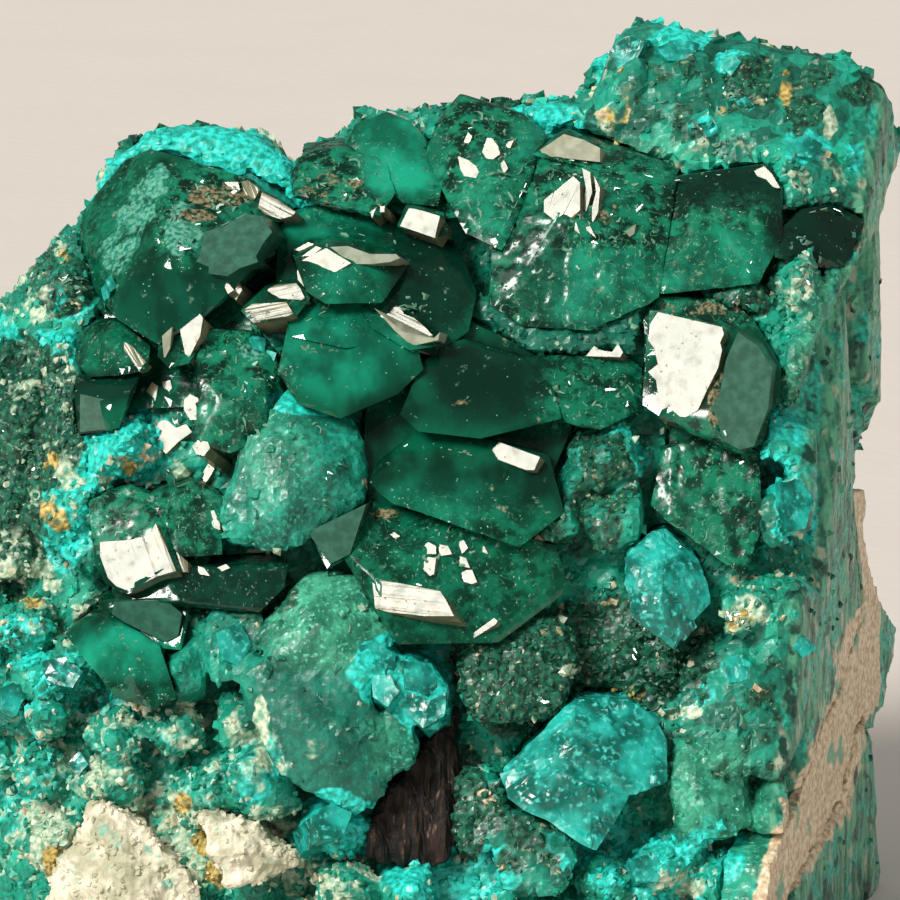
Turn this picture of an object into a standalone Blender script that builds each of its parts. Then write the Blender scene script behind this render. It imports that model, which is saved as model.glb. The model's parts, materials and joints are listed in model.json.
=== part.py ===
"""A dioptase specimen: dark green crystals on a broken mass of teal dioptase, with calcite.

Sizes are in mm and turned into metres when a mesh is made. +Z is up and -Y is the
front. The origin lies on the flat base, below the middle of the front view.
"""
import random
from math import cos, pi, radians, sin, sqrt

import bmesh
import bpy
from mathutils import Vector

MM = 0.001

# Driving dimensions of the whole piece
BASE_UP = -4.0          # front measure of the base, which lies at z = 0
FRONT_FOOT = -16.8      # depth (y) of the front surface at the base
FRONT_LEAN = 0.12       # how fast the front falls back with height, at the base
FRONT_CURVE = 0.0055    # how much faster it falls back higher up
LEFT_TURN = 10.0        # left of this the front curves away
RIGHT_TURN = 38.0       # right of this the front curves away
BODY_BEHIND = 1.2       # how far the body lies behind the general front surface
GAP = 0.3               # clear space between neighbouring pieces
FACET_MERGE = 17.0      # degrees: corners closer to flat than this share one face
LUMP_CORNERS = 9        # corners of a broken lump
LUMP_MERGE = 30.0       # the same for a broken lump
SIDE_LUMP = 5.0         # radius of the broad lumps on the sides nobody sees in front
LEVEL = radians(1.2)    # seams flatter than this are melted away
VEIN_LAP = 0.07         # share of its length by which a run of the vein laps the next

# The direction from which the front measures are read
VIEW_HEIGHT = radians(10.0)
VIEW_DISTANCE = 400.0
VIEW_AIM = Vector((0.0, -8.0, 25.3))
FRONT_MIDDLE = 22.5     # front measures, x and up, of the point aimed at

# The sheared flat face on the right
SHEAR_NORMAL = Vector((0.962, -0.272, 0.0)).normalized()
SHEAR_POINT = Vector((20.0, -4.0, 0.0))

# How high the piece shows from the front, as (x, up) places along its top edge
SKYLINE = (
    (-9.0, 21.0), (-4.0, 25.5), (0.0, 28.5), (1.0, 29.7), (2.8, 31.6), (4.0, 33.3),
    (5.0, 36.2), (6.5, 37.4), (8.0, 38.1), (10.5, 38.5), (13.0, 37.9), (14.5, 36.9),
    (16.0, 37.5), (17.7, 38.6), (19.4, 39.3), (20.5, 38.8), (22.0, 39.0), (23.0, 40.1),
    (24.0, 39.9), (27.0, 38.9), (29.5, 39.6), (30.5, 42.1), (31.3, 43.4), (32.2, 43.5),
    (35.3, 42.8), (38.3, 42.5), (41.0, 42.0), (43.3, 41.5), (44.3, 40.0), (45.2, 39.0))

random.seed(38)


def clear_scene():
    for item in list(bpy.data.objects):
        bpy.data.objects.remove(item, do_unlink=True)


def sight_line(x, up):
    """Start and direction of the sight line that meets a place in front measures."""
    ahead = Vector((0.0, cos(VIEW_HEIGHT), -sin(VIEW_HEIGHT)))
    above = Vector((0.0, sin(VIEW_HEIGHT), cos(VIEW_HEIGHT)))
    eye = VIEW_AIM - ahead * VIEW_DISTANCE
    aim = ahead * VIEW_DISTANCE + Vector((x - FRONT_MIDDLE, 0, 0)) + above * (up - FRONT_MIDDLE)
    return eye, aim


def under_skyline(point):
    """The same world point, let down where it would show above the skyline."""
    eye, aim = sight_line(FRONT_MIDDLE, FRONT_MIDDLE)
    ahead = aim.normalized()
    above = Vector((0.0, -ahead.z, ahead.y))
    offset = point - eye
    scale = VIEW_DISTANCE / offset.dot(ahead)
    x = FRONT_MIDDLE + offset.x * scale
    up = FRONT_MIDDLE + offset.dot(above) * scale
    for (x0, up0), (x1, up1) in zip(SKYLINE, SKYLINE[1:]):
        if x0 <= x <= x1:
            top = up0 + (up1 - up0) * (x - x0) / (x1 - x0)
            return point - Vector((0.0, 0.0, max(up - top, 0.0) / ahead.y))
    return point


def front_depth(x, up):
    """Depth of the general front surface at a place in front measures."""
    rise = max(up - BASE_UP, 0.0)
    depth = FRONT_FOOT + FRONT_LEAN * rise + FRONT_CURVE * rise ** 2
    depth += 0.05 * max(LEFT_TURN - x, 0.0) ** 2
    return depth + 0.15 * max(x - RIGHT_TURN, 0.0) ** 2


def seen(x, up, out):
    """World point seen at (x, up) that stands out mm in front of the front surface."""
    eye, aim = sight_line(x, up)
    depth = front_depth(x, up) - out
    return eye + aim * ((depth - eye.y) / aim.y)


def on_shear(x, up, out):
    """World point seen at (x, up) on the sheared face, out mm proud of it."""
    eye, aim = sight_line(x, up)
    far = (SHEAR_POINT - eye).dot(SHEAR_NORMAL) / aim.dot(SHEAR_NORMAL)
    return eye + aim * far + SHEAR_NORMAL * out


def hull_faces(points, merge=FACET_MERGE):
    """Flat faces, as (normal, distance), of the closed form around some points.

    Neighbouring triangles that are nearly level are levelled into one face, which
    gives the few large flat faces of a crystal.
    """
    points = [under_skyline(point) for point in points]
    mesh = bmesh.new()
    for point in points:
        mesh.verts.new(point)
    bmesh.ops.convex_hull(mesh, input=mesh.verts)
    middle = sum(points, Vector()) / len(points)
    groups = []
    for face in sorted(mesh.faces, key=lambda item: -item.calc_area()):
        normal = face.normal.copy()
        if normal.dot(face.calc_center_median() - middle) < 0:
            normal.negate()
        for group in groups:
            if group["normal"].angle(normal) < radians(merge):
                break
        else:
            group = {"normal": normal, "sum": Vector(), "points": []}
            groups.append(group)
        group["sum"] += normal * face.calc_area()
        group["points"] += [vert.co.copy() for vert in face.verts]
    mesh.free()
    faces = []
    for group in groups:
        normal = group["sum"].normalized()
        reach = [normal.dot(point) for point in group["points"]]
        faces.append((normal, 0.5 * (max(reach) + sum(reach) / len(reach))))
    return faces


def crystal(*corners, root=6.0, taper=0.7):
    """A crystal whose corners are read from the front and which is rooted in the mass."""
    front = [seen(*corner) for corner in corners]
    middle = sum(front, Vector()) / len(front)
    back = [middle.lerp(point, taper) + Vector((0, root, 0)) for point in front]
    return hull_faces(front + back)


def lump(x, up, out, wide, tall):
    """A broken lump with flat sides on the front, deep enough to reach the body."""
    reach = out + 0.3 * (wide + tall)
    deep = max(0.5 * (wide + tall), 0.5 * (reach + BODY_BEHIND + 1.2))
    return lump_at(seen(x, up, reach - deep), Vector((wide, deep, tall)))


def lump_at(centre, radii):
    """A broken lump with flat sides around a world point."""
    points = []
    for index in range(LUMP_CORNERS):
        height = 1.0 - 2.0 * (index + 0.5) / LUMP_CORNERS
        turn = index * pi * (3.0 - sqrt(5.0)) + random.uniform(-0.35, 0.35)
        ring = sqrt(1.0 - height * height)
        way = Vector((ring * cos(turn), ring * sin(turn), height + random.uniform(-0.15, 0.15)))
        way = way.normalized() * random.uniform(0.88, 1.12)
        points.append(centre + Vector((way.x * radii.x, way.y * radii.y, way.z * radii.z)))
    return hull_faces(points, LUMP_MERGE)


def solid(faces, grow=0.0):
    """A closed mesh, still in mm, bounded by flat faces that are moved out by grow."""
    size = 90.0
    mesh = bmesh.new()
    bmesh.ops.create_cube(mesh, size=2 * size)
    for normal, distance in faces:
        bmesh.ops.bisect_plane(
            mesh, geom=mesh.verts[:] + mesh.edges[:] + mesh.faces[:], dist=1e-4,
            plane_co=normal * (distance + grow), plane_no=normal, clear_outer=True)
        rim = [edge for edge in mesh.edges if edge.is_boundary]
        if rim:
            bmesh.ops.contextual_create(mesh, geom=rim)
    bmesh.ops.recalc_face_normals(mesh, faces=mesh.faces)
    data = bpy.data.meshes.new("solid")
    mesh.to_mesh(data)
    mesh.free()
    return data


def new_object(name, data):
    item = bpy.data.objects.new(name, data)
    bpy.context.collection.objects.link(item)
    return item


def merged(blocks, grow=0.0):
    """One closed mesh of blocks grown together, by one exact Boolean union."""
    group = bpy.data.collections.new("blocks")
    bpy.context.scene.collection.children.link(group)
    for faces in blocks[1:]:
        group.objects.link(bpy.data.objects.new("block", solid(faces, grow)))
    first = new_object("first_block", solid(blocks[0], grow))
    modifier = first.modifiers.new("union", "BOOLEAN")
    modifier.operand_type = "COLLECTION"
    modifier.collection = group
    modifier.operation = "UNION"
    modifier.solver = "EXACT"
    result = evaluated(first)
    for item in [first] + list(group.objects):
        bpy.data.objects.remove(item, do_unlink=True)
    bpy.data.collections.remove(group)
    return result


def cut(target, cutter_mesh):
    """Cut a closed mesh from an object.

    The exact solver leaves the many-faced mass open here, so this uses the manifold one.
    """
    cutter = new_object("cutter", cutter_mesh)
    modifier = target.modifiers.new("cut", "BOOLEAN")
    modifier.object = cutter
    modifier.operation = "DIFFERENCE"
    modifier.solver = "MANIFOLD"
    target.data = evaluated(target)
    target.modifiers.clear()
    bpy.data.objects.remove(cutter, do_unlink=True)


def evaluated(item):
    graph = bpy.context.evaluated_depsgraph_get()
    return bpy.data.meshes.new_from_object(item.evaluated_get(graph))


def tidy(item):
    """Keep the largest connected body, melt away level seams and go from mm to metres."""
    mesh = bmesh.new()
    mesh.from_mesh(item.data)
    bmesh.ops.dissolve_limit(mesh, angle_limit=LEVEL, verts=mesh.verts, edges=mesh.edges)
    bmesh.ops.triangulate(mesh, faces=mesh.faces)
    left = set(mesh.verts)
    bodies = []
    while left:
        body = {left.pop()}
        edge_of_body = list(body)
        while edge_of_body:
            vert = edge_of_body.pop()
            for edge in vert.link_edges:
                other = edge.other_vert(vert)
                if other in left:
                    left.remove(other)
                    body.add(other)
                    edge_of_body.append(other)
        bodies.append(body)
    bodies.sort(key=len)
    crumbs = [vert for body in bodies[:-1] for vert in body]
    bmesh.ops.delete(mesh, geom=crumbs, context="VERTS")
    bmesh.ops.recalc_face_normals(mesh, faces=mesh.faces)
    bmesh.ops.scale(mesh, vec=(MM, MM, MM), verts=mesh.verts)
    mesh.to_mesh(item.data)
    mesh.free()


def material(name, colour, roughness):
    made = bpy.data.materials.new(name)
    made.use_nodes = True
    shader = made.node_tree.nodes["Principled BSDF"]
    shader.inputs["Base Color"].default_value = (*colour, 1.0)
    shader.inputs["Roughness"].default_value = roughness
    shader.inputs["Metallic"].default_value = 0.0
    return made


def node(name, blocks, neighbours, finish):
    """One named piece: blocks grown together, cut clear of the pieces made before it."""
    item = new_object(name, merged(blocks))
    for neighbour in neighbours:
        cut(item, neighbour)
    below = [(Vector((0, 0, 1)), 0.0)]
    beyond = [(-SHEAR_NORMAL, -SHEAR_POINT.dot(SHEAR_NORMAL))]
    cut(item, solid(below))
    cut(item, solid(beyond))
    tidy(item)
    item.data.name = name
    item.data.materials.clear()
    item.data.materials.append(finish)
    print(name, len(item.data.polygons), "triangles")


def left_crystals():
    """The big dark crystal at the upper left, and the small ones at its foot."""
    big = crystal(
        (4.0, 31.8, -1.6), (4.3, 34.2, -1.6), (5.2, 35.6, -1.8), (6.6, 37.0, -1.8),
        (7.6, 37.4, -1.6), (8.8, 37.0, -1.2), (10.9, 36.4, -1.2), (12.6, 35.9, -1.2),
        (13.2, 35.3, -1.0), (13.9, 33.4, -0.4), (13.9, 32.4, 0.2), (5.4, 31.4, 0.8),
        (8.2, 36.3, -0.2), (8.2, 31.9, 2.4), (10.3, 31.4, 2.4), (12.8, 31.8, 1.2),
        (12.3, 34.2, 0.4), (6.2, 30.3, 1.6), (6.3, 28.9, 1.4), (8.0, 28.0, 1.6),
        (10.1, 29.2, 1.8), (10.8, 30.9, 1.9), root=7)
    shoulder = crystal(
        (12.1, 36.0, -0.9), (13.3, 35.2, -0.6), (14.9, 34.3, -0.4), (13.9, 34.0, 0.3),
        (12.9, 34.3, 0.5), (12.2, 35.2, 0.2), root=5)
    foot = crystal(
        (4.0, 28.2, 0.0), (4.9, 28.9, 0.0), (5.8, 28.9, 0.3), (7.4, 27.6, 1.0),
        (7.3, 26.7, 1.3), (6.0, 26.3, 1.5), (4.4, 26.4, 1.2), (3.9, 27.0, 0.6),
        (5.2, 28.0, 1.4), root=7)
    sliver = crystal(
        (8.1, 28.2, 1.0), (8.6, 28.6, 1.0), (10.1, 29.3, 0.8), (10.2, 28.2, 1.2),
        (9.4, 26.9, 1.9), (8.5, 26.7, 1.9), (8.0, 27.2, 1.7), root=7)
    rough = crystal(
        (9.9, 28.3, 0.8), (11.5, 28.4, 1.0), (12.8, 28.1, 1.1), (13.6, 27.4, 1.1),
        (14.0, 26.3, 1.2), (14.0, 25.2, 1.2), (12.9, 24.6, 2.5), (11.0, 25.0, 2.7),
        (10.0, 26.2, 2.2), (9.7, 23.0, 2.0), (11.5, 22.4, 2.2), (13.2, 23.4, 1.8), root=9)
    lens = crystal(
        (3.9, 26.1, 0.6), (5.2, 26.4, 0.5), (6.9, 26.1, 0.9), (6.4, 25.2, 1.6),
        (5.0, 24.9, 1.8), (4.0, 25.2, 1.4), (5.9, 23.7, 1.4), (4.0, 23.4, 1.0), root=8)
    bed = crystal(
        (5.0, 31.0, -1.0), (12.5, 30.0, -0.5), (12.8, 25.0, 0.0), (6.0, 24.6, 0.0), root=6)
    return [big, shoulder, foot, sliver, rough, lens, bed]


def central_crystals():
    """The great crystal in the middle, with the ones grown through its lower side."""
    great = crystal(
        (16.3, 34.7, -1.2), (22.4, 32.9, -0.4), (23.0, 32.2, -0.2), (23.7, 30.4, 0.4),
        (23.3, 28.5, 0.8), (21.9, 27.5, 1.4), (18.5, 27.6, 2.0), (14.6, 28.5, 2.0),
        (13.9, 30.9, 1.0), (14.1, 33.4, -0.6), (14.6, 34.3, -1.2), (20.3, 31.0, 1.6),
        (18.2, 33.0, 0.4), root=9)
    step = crystal(
        (14.7, 32.4, 0.8), (15.5, 33.0, 0.6), (17.0, 33.2, 0.6), (18.5, 32.8, 0.8),
        (19.9, 32.3, 1.1), (20.2, 31.6, 1.6), (17.6, 31.8, 2.9), (16.2, 32.6, 2.4),
        (14.9, 31.9, 2.3), (15.4, 30.5, 2.7), (19.0, 30.0, 2.8), (16.3, 29.9, 3.0), root=6)
    stair = crystal(
        (13.3, 30.5, 1.8), (14.8, 30.9, 1.8), (15.4, 30.1, 2.2), (14.8, 29.3, 2.3),
        (12.7, 28.9, 2.2), (12.2, 29.5, 1.8), root=5)
    emerald = crystal(
        (14.5, 28.6, 1.6), (16.9, 29.9, 1.4), (18.3, 28.1, 2.2), (20.8, 27.4, 2.2),
        (21.0, 26.6, 2.2), (19.8, 25.4, 2.4), (17.0, 24.2, 2.6), (15.0, 25.0, 2.4),
        (14.1, 26.5, 2.0), (17.5, 26.8, 2.8), root=8)
    shelf = crystal(
        (18.2, 29.6, 1.6), (19.9, 29.7, 1.6), (21.3, 28.7, 1.8), (22.0, 28.2, 1.8),
        (21.9, 27.8, 2.4), (20.5, 27.6, 2.8), (18.7, 28.6, 2.6), root=6)
    dark = crystal(
        (21.2, 26.8, 1.6), (22.4, 27.7, 1.2), (23.2, 27.9, 1.0), (26.1, 27.0, 1.0),
        (27.5, 25.6, 1.2), (27.9, 24.2, 1.6), (24.0, 23.2, 2.4), (21.0, 23.6, 2.4),
        (20.2, 24.4, 2.2), (24.5, 26.3, 1.9), root=8)
    beyond = crystal(
        (26.1, 27.1, 0.6), (31.2, 27.1, 0.6), (32.0, 26.5, 0.5), (32.0, 24.6, 1.2),
        (30.0, 23.6, 1.8), (28.4, 23.9, 1.8), (27.4, 25.2, 1.2), root=8)
    olive = crystal(
        (18.9, 21.6, 1.8), (20.2, 22.8, 1.4), (21.2, 23.4, 1.2), (24.4, 22.9, 1.6),
        (27.4, 21.9, 1.4), (28.0, 19.5, 1.6), (26.0, 18.0, 2.2), (22.5, 18.9, 2.8),
        (19.3, 20.2, 2.8), (18.6, 20.9, 2.4), root=9)
    lower = crystal(
        (18.3, 19.4, 1.2), (22.5, 19.0, 1.6), (25.5, 17.8, 1.8), (27.8, 17.2, 1.2),
        (28.3, 15.6, 1.0), (26.5, 14.2, 1.6), (24.8, 13.0, 2.2), (22.0, 13.0, 2.6),
        (19.8, 13.0, 2.6), (19.1, 14.5, 2.8), (18.6, 16.2, 2.6), (17.3, 17.2, 1.8), root=9)
    grey = crystal(
        (15.6, 18.4, 1.2), (16.0, 19.0, 1.0), (18.5, 19.9, 1.0), (18.4, 18.6, 1.4),
        (17.4, 17.2, 1.8), (16.4, 16.7, 1.6), root=7)
    bed = crystal(
        (21.0, 30.0, 0.0), (24.5, 27.0, 0.0), (29.5, 26.0, 0.0), (26.5, 19.0, 0.2),
        (25.0, 15.5, 0.4), (19.5, 16.0, 0.4), (18.0, 18.2, 0.4), (19.5, 23.0, 0.4),
        (18.5, 26.0, 0.2), root=6, taper=1.0)
    return [great, step, stair, emerald, shelf, dark, beyond, olive, lower, grey, bed]


def upper_crystals():
    """The crystals along the top edge, left of the shelf."""
    rough = crystal(
        (14.6, 35.9, -1.0), (14.9, 36.9, -1.2), (15.8, 37.4, -1.4), (17.0, 37.5, -1.4),
        (19.2, 36.9, -0.8), (19.6, 35.4, 0.2), (18.8, 34.2, 0.9), (16.5, 34.9, 0.8),
        (14.8, 35.2, 0.0), root=7)
    smooth = crystal(
        (17.5, 37.9, -1.6), (17.8, 38.6, -1.8), (19.3, 39.4, -2.0), (20.0, 39.3, -2.0),
        (20.5, 38.7, -1.7), (21.2, 37.9, -1.4), (22.0, 36.0, -0.6), (21.8, 34.8, 0.2),
        (20.2, 34.9, 0.4), (19.0, 36.6, -0.6), root=8)
    tall = crystal(
        (21.4, 37.3, -1.2), (22.0, 38.8, -1.6), (22.5, 39.7, -1.9), (23.0, 40.1, -2.0),
        (23.7, 40.0, -2.0), (25.6, 39.3, -1.8), (26.2, 39.1, -1.6), (27.2, 38.2, -1.2),
        (26.9, 37.5, -0.6), (26.4, 35.3, 0.4), (25.4, 33.6, 1.0), (24.8, 32.7, 1.2),
        (23.4, 33.4, 0.9), (22.5, 35.0, 0.4), (24.6, 36.8, 0.8), root=9)
    tile = crystal(
        (20.1, 33.8, 0.6), (20.4, 34.7, 0.3), (22.1, 34.3, 0.4), (22.3, 33.4, 0.8),
        (21.8, 33.2, 1.0), (20.0, 33.7, 1.0), root=6)
    bed = crystal(
        (15.5, 36.5, -2.0), (19.0, 37.5, -2.2), (25.5, 37.5, -2.2), (25.0, 34.6, -0.8),
        (21.4, 34.0, -0.6), (16.0, 35.6, -1.0), root=6, taper=1.0)
    return [rough, smooth, tall, tile, bed]


def shelf_crystals():
    """The speckled crystals below the straight bright edge, at the upper right."""
    speckled = crystal(
        (27.0, 37.3, -0.4), (28.1, 37.1, -0.2), (33.5, 36.0, 0.2), (33.4, 33.5, 0.8),
        (32.6, 30.2, 1.0), (29.5, 28.6, 1.4), (26.2, 28.8, 1.4), (24.6, 30.0, 1.0),
        (24.7, 32.4, 1.0), (26.3, 34.6, 1.2), (28.0, 34.2, 2.2), (29.8, 33.0, 2.0), root=9)
    corner = crystal(
        (33.5, 36.0, -0.2), (34.5, 35.9, -0.2), (37.7, 36.4, -0.6), (38.4, 36.7, -0.8),
        (39.0, 35.6, -0.2), (39.0, 33.0, 0.6), (38.0, 31.2, 1.0), (35.0, 30.5, 1.4),
        (33.0, 30.6, 1.2), (34.8, 34.6, 0.8), (38.2, 34.6, 0.9), root=9)
    shelf = crystal(
        (26.8, 37.6, -1.4), (28.1, 38.3, -2.2), (29.4, 38.1, -2.0), (30.2, 37.7, -1.8),
        (33.6, 36.4, -1.0), (33.4, 35.9, 0.0), (28.1, 37.1, 0.0), (26.9, 37.4, -0.4), root=6)
    black = crystal(
        (38.9, 33.3, 0.4), (40.1, 34.4, -0.2), (41.5, 34.7, -0.4), (43.0, 34.0, -0.4),
        (42.3, 32.1, 0.6), (41.8, 31.6, 0.8), (40.8, 32.4, 0.9), (38.8, 32.2, 0.8), root=6)
    bed = crystal(
        (28.0, 36.0, -1.0), (37.0, 35.4, -1.0), (41.5, 33.6, -0.8), (41.0, 32.8, -0.4),
        (36.0, 32.0, -0.2), (29.0, 31.0, 0.0), root=6, taper=1.0)
    return [speckled, corner, shelf, black, bed]


def right_crystals():
    """The crystal with the mirror-bright face, and the dark one below it."""
    bright = crystal(
        (32.7, 29.4, 1.6), (36.1, 28.6, 2.4), (36.6, 28.1, 2.6), (35.2, 25.0, 2.7),
        (34.3, 24.1, 2.6), (33.1, 24.2, 2.3), (32.4, 24.9, 2.0), (32.3, 26.4, 1.8),
        (37.0, 28.4, 2.2), (37.9, 27.7, 1.8), (38.6, 26.6, 1.3), (38.4, 24.6, 1.3),
        (38.2, 23.0, 1.5), (37.0, 22.4, 2.2), (36.1, 23.0, 2.6), (35.2, 24.0, 2.9), root=8)
    rim = crystal(
        (33.0, 30.1, 0.4), (36.5, 29.9, 0.4), (37.6, 28.9, 0.6), (38.9, 26.7, 0.6),
        (38.9, 25.2, 0.8), (32.3, 29.0, 0.8), (32.4, 25.0, 1.0), root=7)
    speckled = crystal(
        (32.7, 20.0, 0.6), (33.2, 22.4, 0.8), (35.2, 23.2, 1.0), (37.6, 22.4, 1.0),
        (38.0, 20.4, 1.0), (37.9, 18.4, 1.0), (37.2, 16.6, 1.0), (35.6, 17.4, 1.0),
        (33.6, 18.9, 1.0), root=9)
    bed = crystal(
        (33.5, 28.0, 0.0), (37.6, 26.5, 0.0), (37.2, 19.0, 0.0), (34.0, 20.5, 0.0),
        (33.4, 25.0, 0.0), root=6, taper=1.0)
    return [bright, rim, speckled, bed]


def lower_left_crystals():
    """The pitted crystal with the ribbed pale face, and the dark ones beside it."""
    ribbed = crystal(
        (4.7, 18.0, 1.8), (7.8, 18.9, 1.6), (8.9, 16.4, 2.2), (7.5, 16.0, 2.4),
        (6.4, 15.4, 2.6), (5.4, 15.9, 2.4), (5.0, 16.6, 2.2), (4.6, 20.0, 1.0),
        (6.5, 20.6, 1.0), (7.8, 20.0, 1.0), root=7)
    dark = crystal(
        (7.0, 16.2, 1.6), (9.0, 16.4, 1.6), (11.0, 16.6, 1.4), (14.2, 16.5, 1.2),
        (14.1, 15.7, 1.6), (12.9, 14.5, 2.0), (11.6, 14.7, 2.0), (9.0, 15.0, 2.0),
        (6.0, 15.0, 1.8), root=7)
    back = crystal(
        (7.6, 20.2, 1.0), (9.8, 20.8, 0.8), (11.0, 20.0, 0.8), (11.0, 17.4, 1.2),
        (8.8, 17.2, 1.6), root=7)
    wedge = crystal(
        (3.5, 13.4, 1.8), (4.3, 14.0, 1.5), (5.5, 14.2, 1.4), (6.0, 12.9, 1.8),
        (7.9, 12.6, 1.8), (8.7, 10.1, 2.4), (7.6, 9.7, 2.6), (6.2, 10.1, 2.6),
        (4.9, 11.4, 2.4), (6.5, 11.5, 2.9), root=7)
    bridge = crystal(
        (5.0, 14.9, 0.9), (9.5, 15.0, 1.0), (9.0, 12.6, 1.2), (5.6, 13.0, 1.0), root=7)
    bed = crystal(
        (5.5, 18.5, 0.0), (10.4, 19.0, 0.0), (10.4, 16.0, 0.2), (7.6, 11.6, 0.6),
        (6.0, 12.4, 0.4), root=6, taper=1.0)
    return [ribbed, dark, back, wedge, bridge, bed]


def turquoise_crystal():
    """The egg-shaped pale crystal right of the middle."""
    return [crystal(
        (31.4, 17.2, 2.2), (32.6, 18.3, 2.0), (33.3, 18.5, 1.8), (34.9, 17.1, 1.8),
        (35.5, 15.0, 1.8), (34.3, 13.2, 2.2), (33.6, 12.6, 2.4), (31.8, 14.1, 2.6),
        (31.2, 15.8, 2.4), (33.2, 16.6, 3.4), (33.0, 14.9, 3.5), root=6)]


def cleavage_piece():
    """The large bright turquoise piece with broken edges, at the lower right."""
    plate = crystal(
        (25.0, 6.3, 1.8), (27.4, 7.5, 2.0), (28.7, 10.1, 1.4), (31.6, 10.0, 1.4),
        (33.0, 8.9, 1.4), (33.4, 8.0, 1.6), (33.3, 6.0, 2.0), (31.6, 5.2, 2.6),
        (25.4, 5.3, 2.2), (28.9, 7.8, 3.0), root=6)
    tip = crystal(
        (25.6, 6.2, 1.8), (25.4, 5.3, 2.2), (26.2, 4.6, 2.6), (29.9, 2.5, 3.2),
        (30.4, 4.0, 3.0), (31.5, 5.2, 2.6), (29.5, 5.6, 3.4), (28.0, 6.5, 3.0), root=5)
    return [plate, tip]


def calcite_patch():
    """The cream calcite at the lower left, down to the base."""
    big = crystal(
        (2.4, 0.0, 1.6), (2.9, 1.5, 1.6), (4.0, 3.2, 1.6), (4.5, 4.6, 1.4),
        (5.2, 4.9, 1.4), (6.2, 4.5, 1.5), (7.5, 2.6, 1.8), (9.2, 1.4, 1.8),
        (9.9, 0.2, 1.8), (10.2, -4.5, 2.0), (2.0, -4.5, 1.8), (5.8, 2.0, 3.0),
        (7.2, 0.3, 3.3), (4.8, 0.0, 3.0), (6.0, -3.5, 3.2), root=5)
    return [big]


def calcite_grain():
    """The smaller calcite grain beside the patch, stained yellow."""
    return [crystal(
        (10.1, 4.4, 1.6), (11.0, 4.3, 1.6), (12.2, 3.9, 1.8), (13.2, 3.1, 1.8),
        (14.6, 2.2, 1.8), (14.9, 1.9, 1.8), (14.1, 1.2, 2.0), (12.6, 1.4, 2.2),
        (11.4, 0.6, 2.4), (10.4, 2.4, 2.4), (12.2, 2.6, 2.9), root=4)]


def vein_run(*middles):
    """Blocks along a run of (x, up, half width) places on the sheared face."""
    blocks = []
    for (x0, up0, half0), (x1, up1, half1) in zip(middles, middles[1:]):
        points = []
        lap_x, lap_up = (x1 - x0) * VEIN_LAP, (up1 - up0) * VEIN_LAP
        for x, up, half in ((x0 - lap_x, up0 - lap_up, half0), (x1 + lap_x, up1 + lap_up, half1)):
            for side in (-half, half):
                points.append(on_shear(x + side, up, 0.25))
                points.append(on_shear(x + side, up, -2.4))
        blocks.append(hull_faces(points))
    return blocks


def calcite_vein():
    """The tan vein down the sheared face, thin above and broad below."""
    main = vein_run(
        (43.0, 20.4, 0.22), (42.9, 18.8, 0.28), (43.2, 17.0, 0.25), (43.6, 15.0, 0.35),
        (43.9, 13.6, 0.9), (43.6, 12.2, 1.1), (43.2, 10.6, 1.1), (42.0, 8.6, 0.85),
        (41.5, 6.8, 0.9), (41.0, 5.0, 1.0), (40.2, 3.4, 0.95), (39.4, 1.8, 0.8),
        (38.9, 0.3, 0.5), (38.6, -1.6, 0.4))
    branch = vein_run((43.6, 12.2, 0.6), (44.1, 10.6, 0.35), (43.5, 8.7, 0.25))
    return main + branch


def limonite_pocket():
    """The brown-black limonite that fills the hollow below the middle."""
    return [crystal(
        (22.7, 9.3, -0.4), (22.9, 8.0, -0.2), (22.8, 2.8, 0.4), (21.8, 1.5, 0.6),
        (19.8, 1.7, 0.8), (18.3, 2.2, 1.2), (18.5, 3.9, 1.2), (20.0, 6.0, 0.6),
        (20.9, 7.3, 0.2), (21.6, 5.0, 0.0), root=6)]


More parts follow.
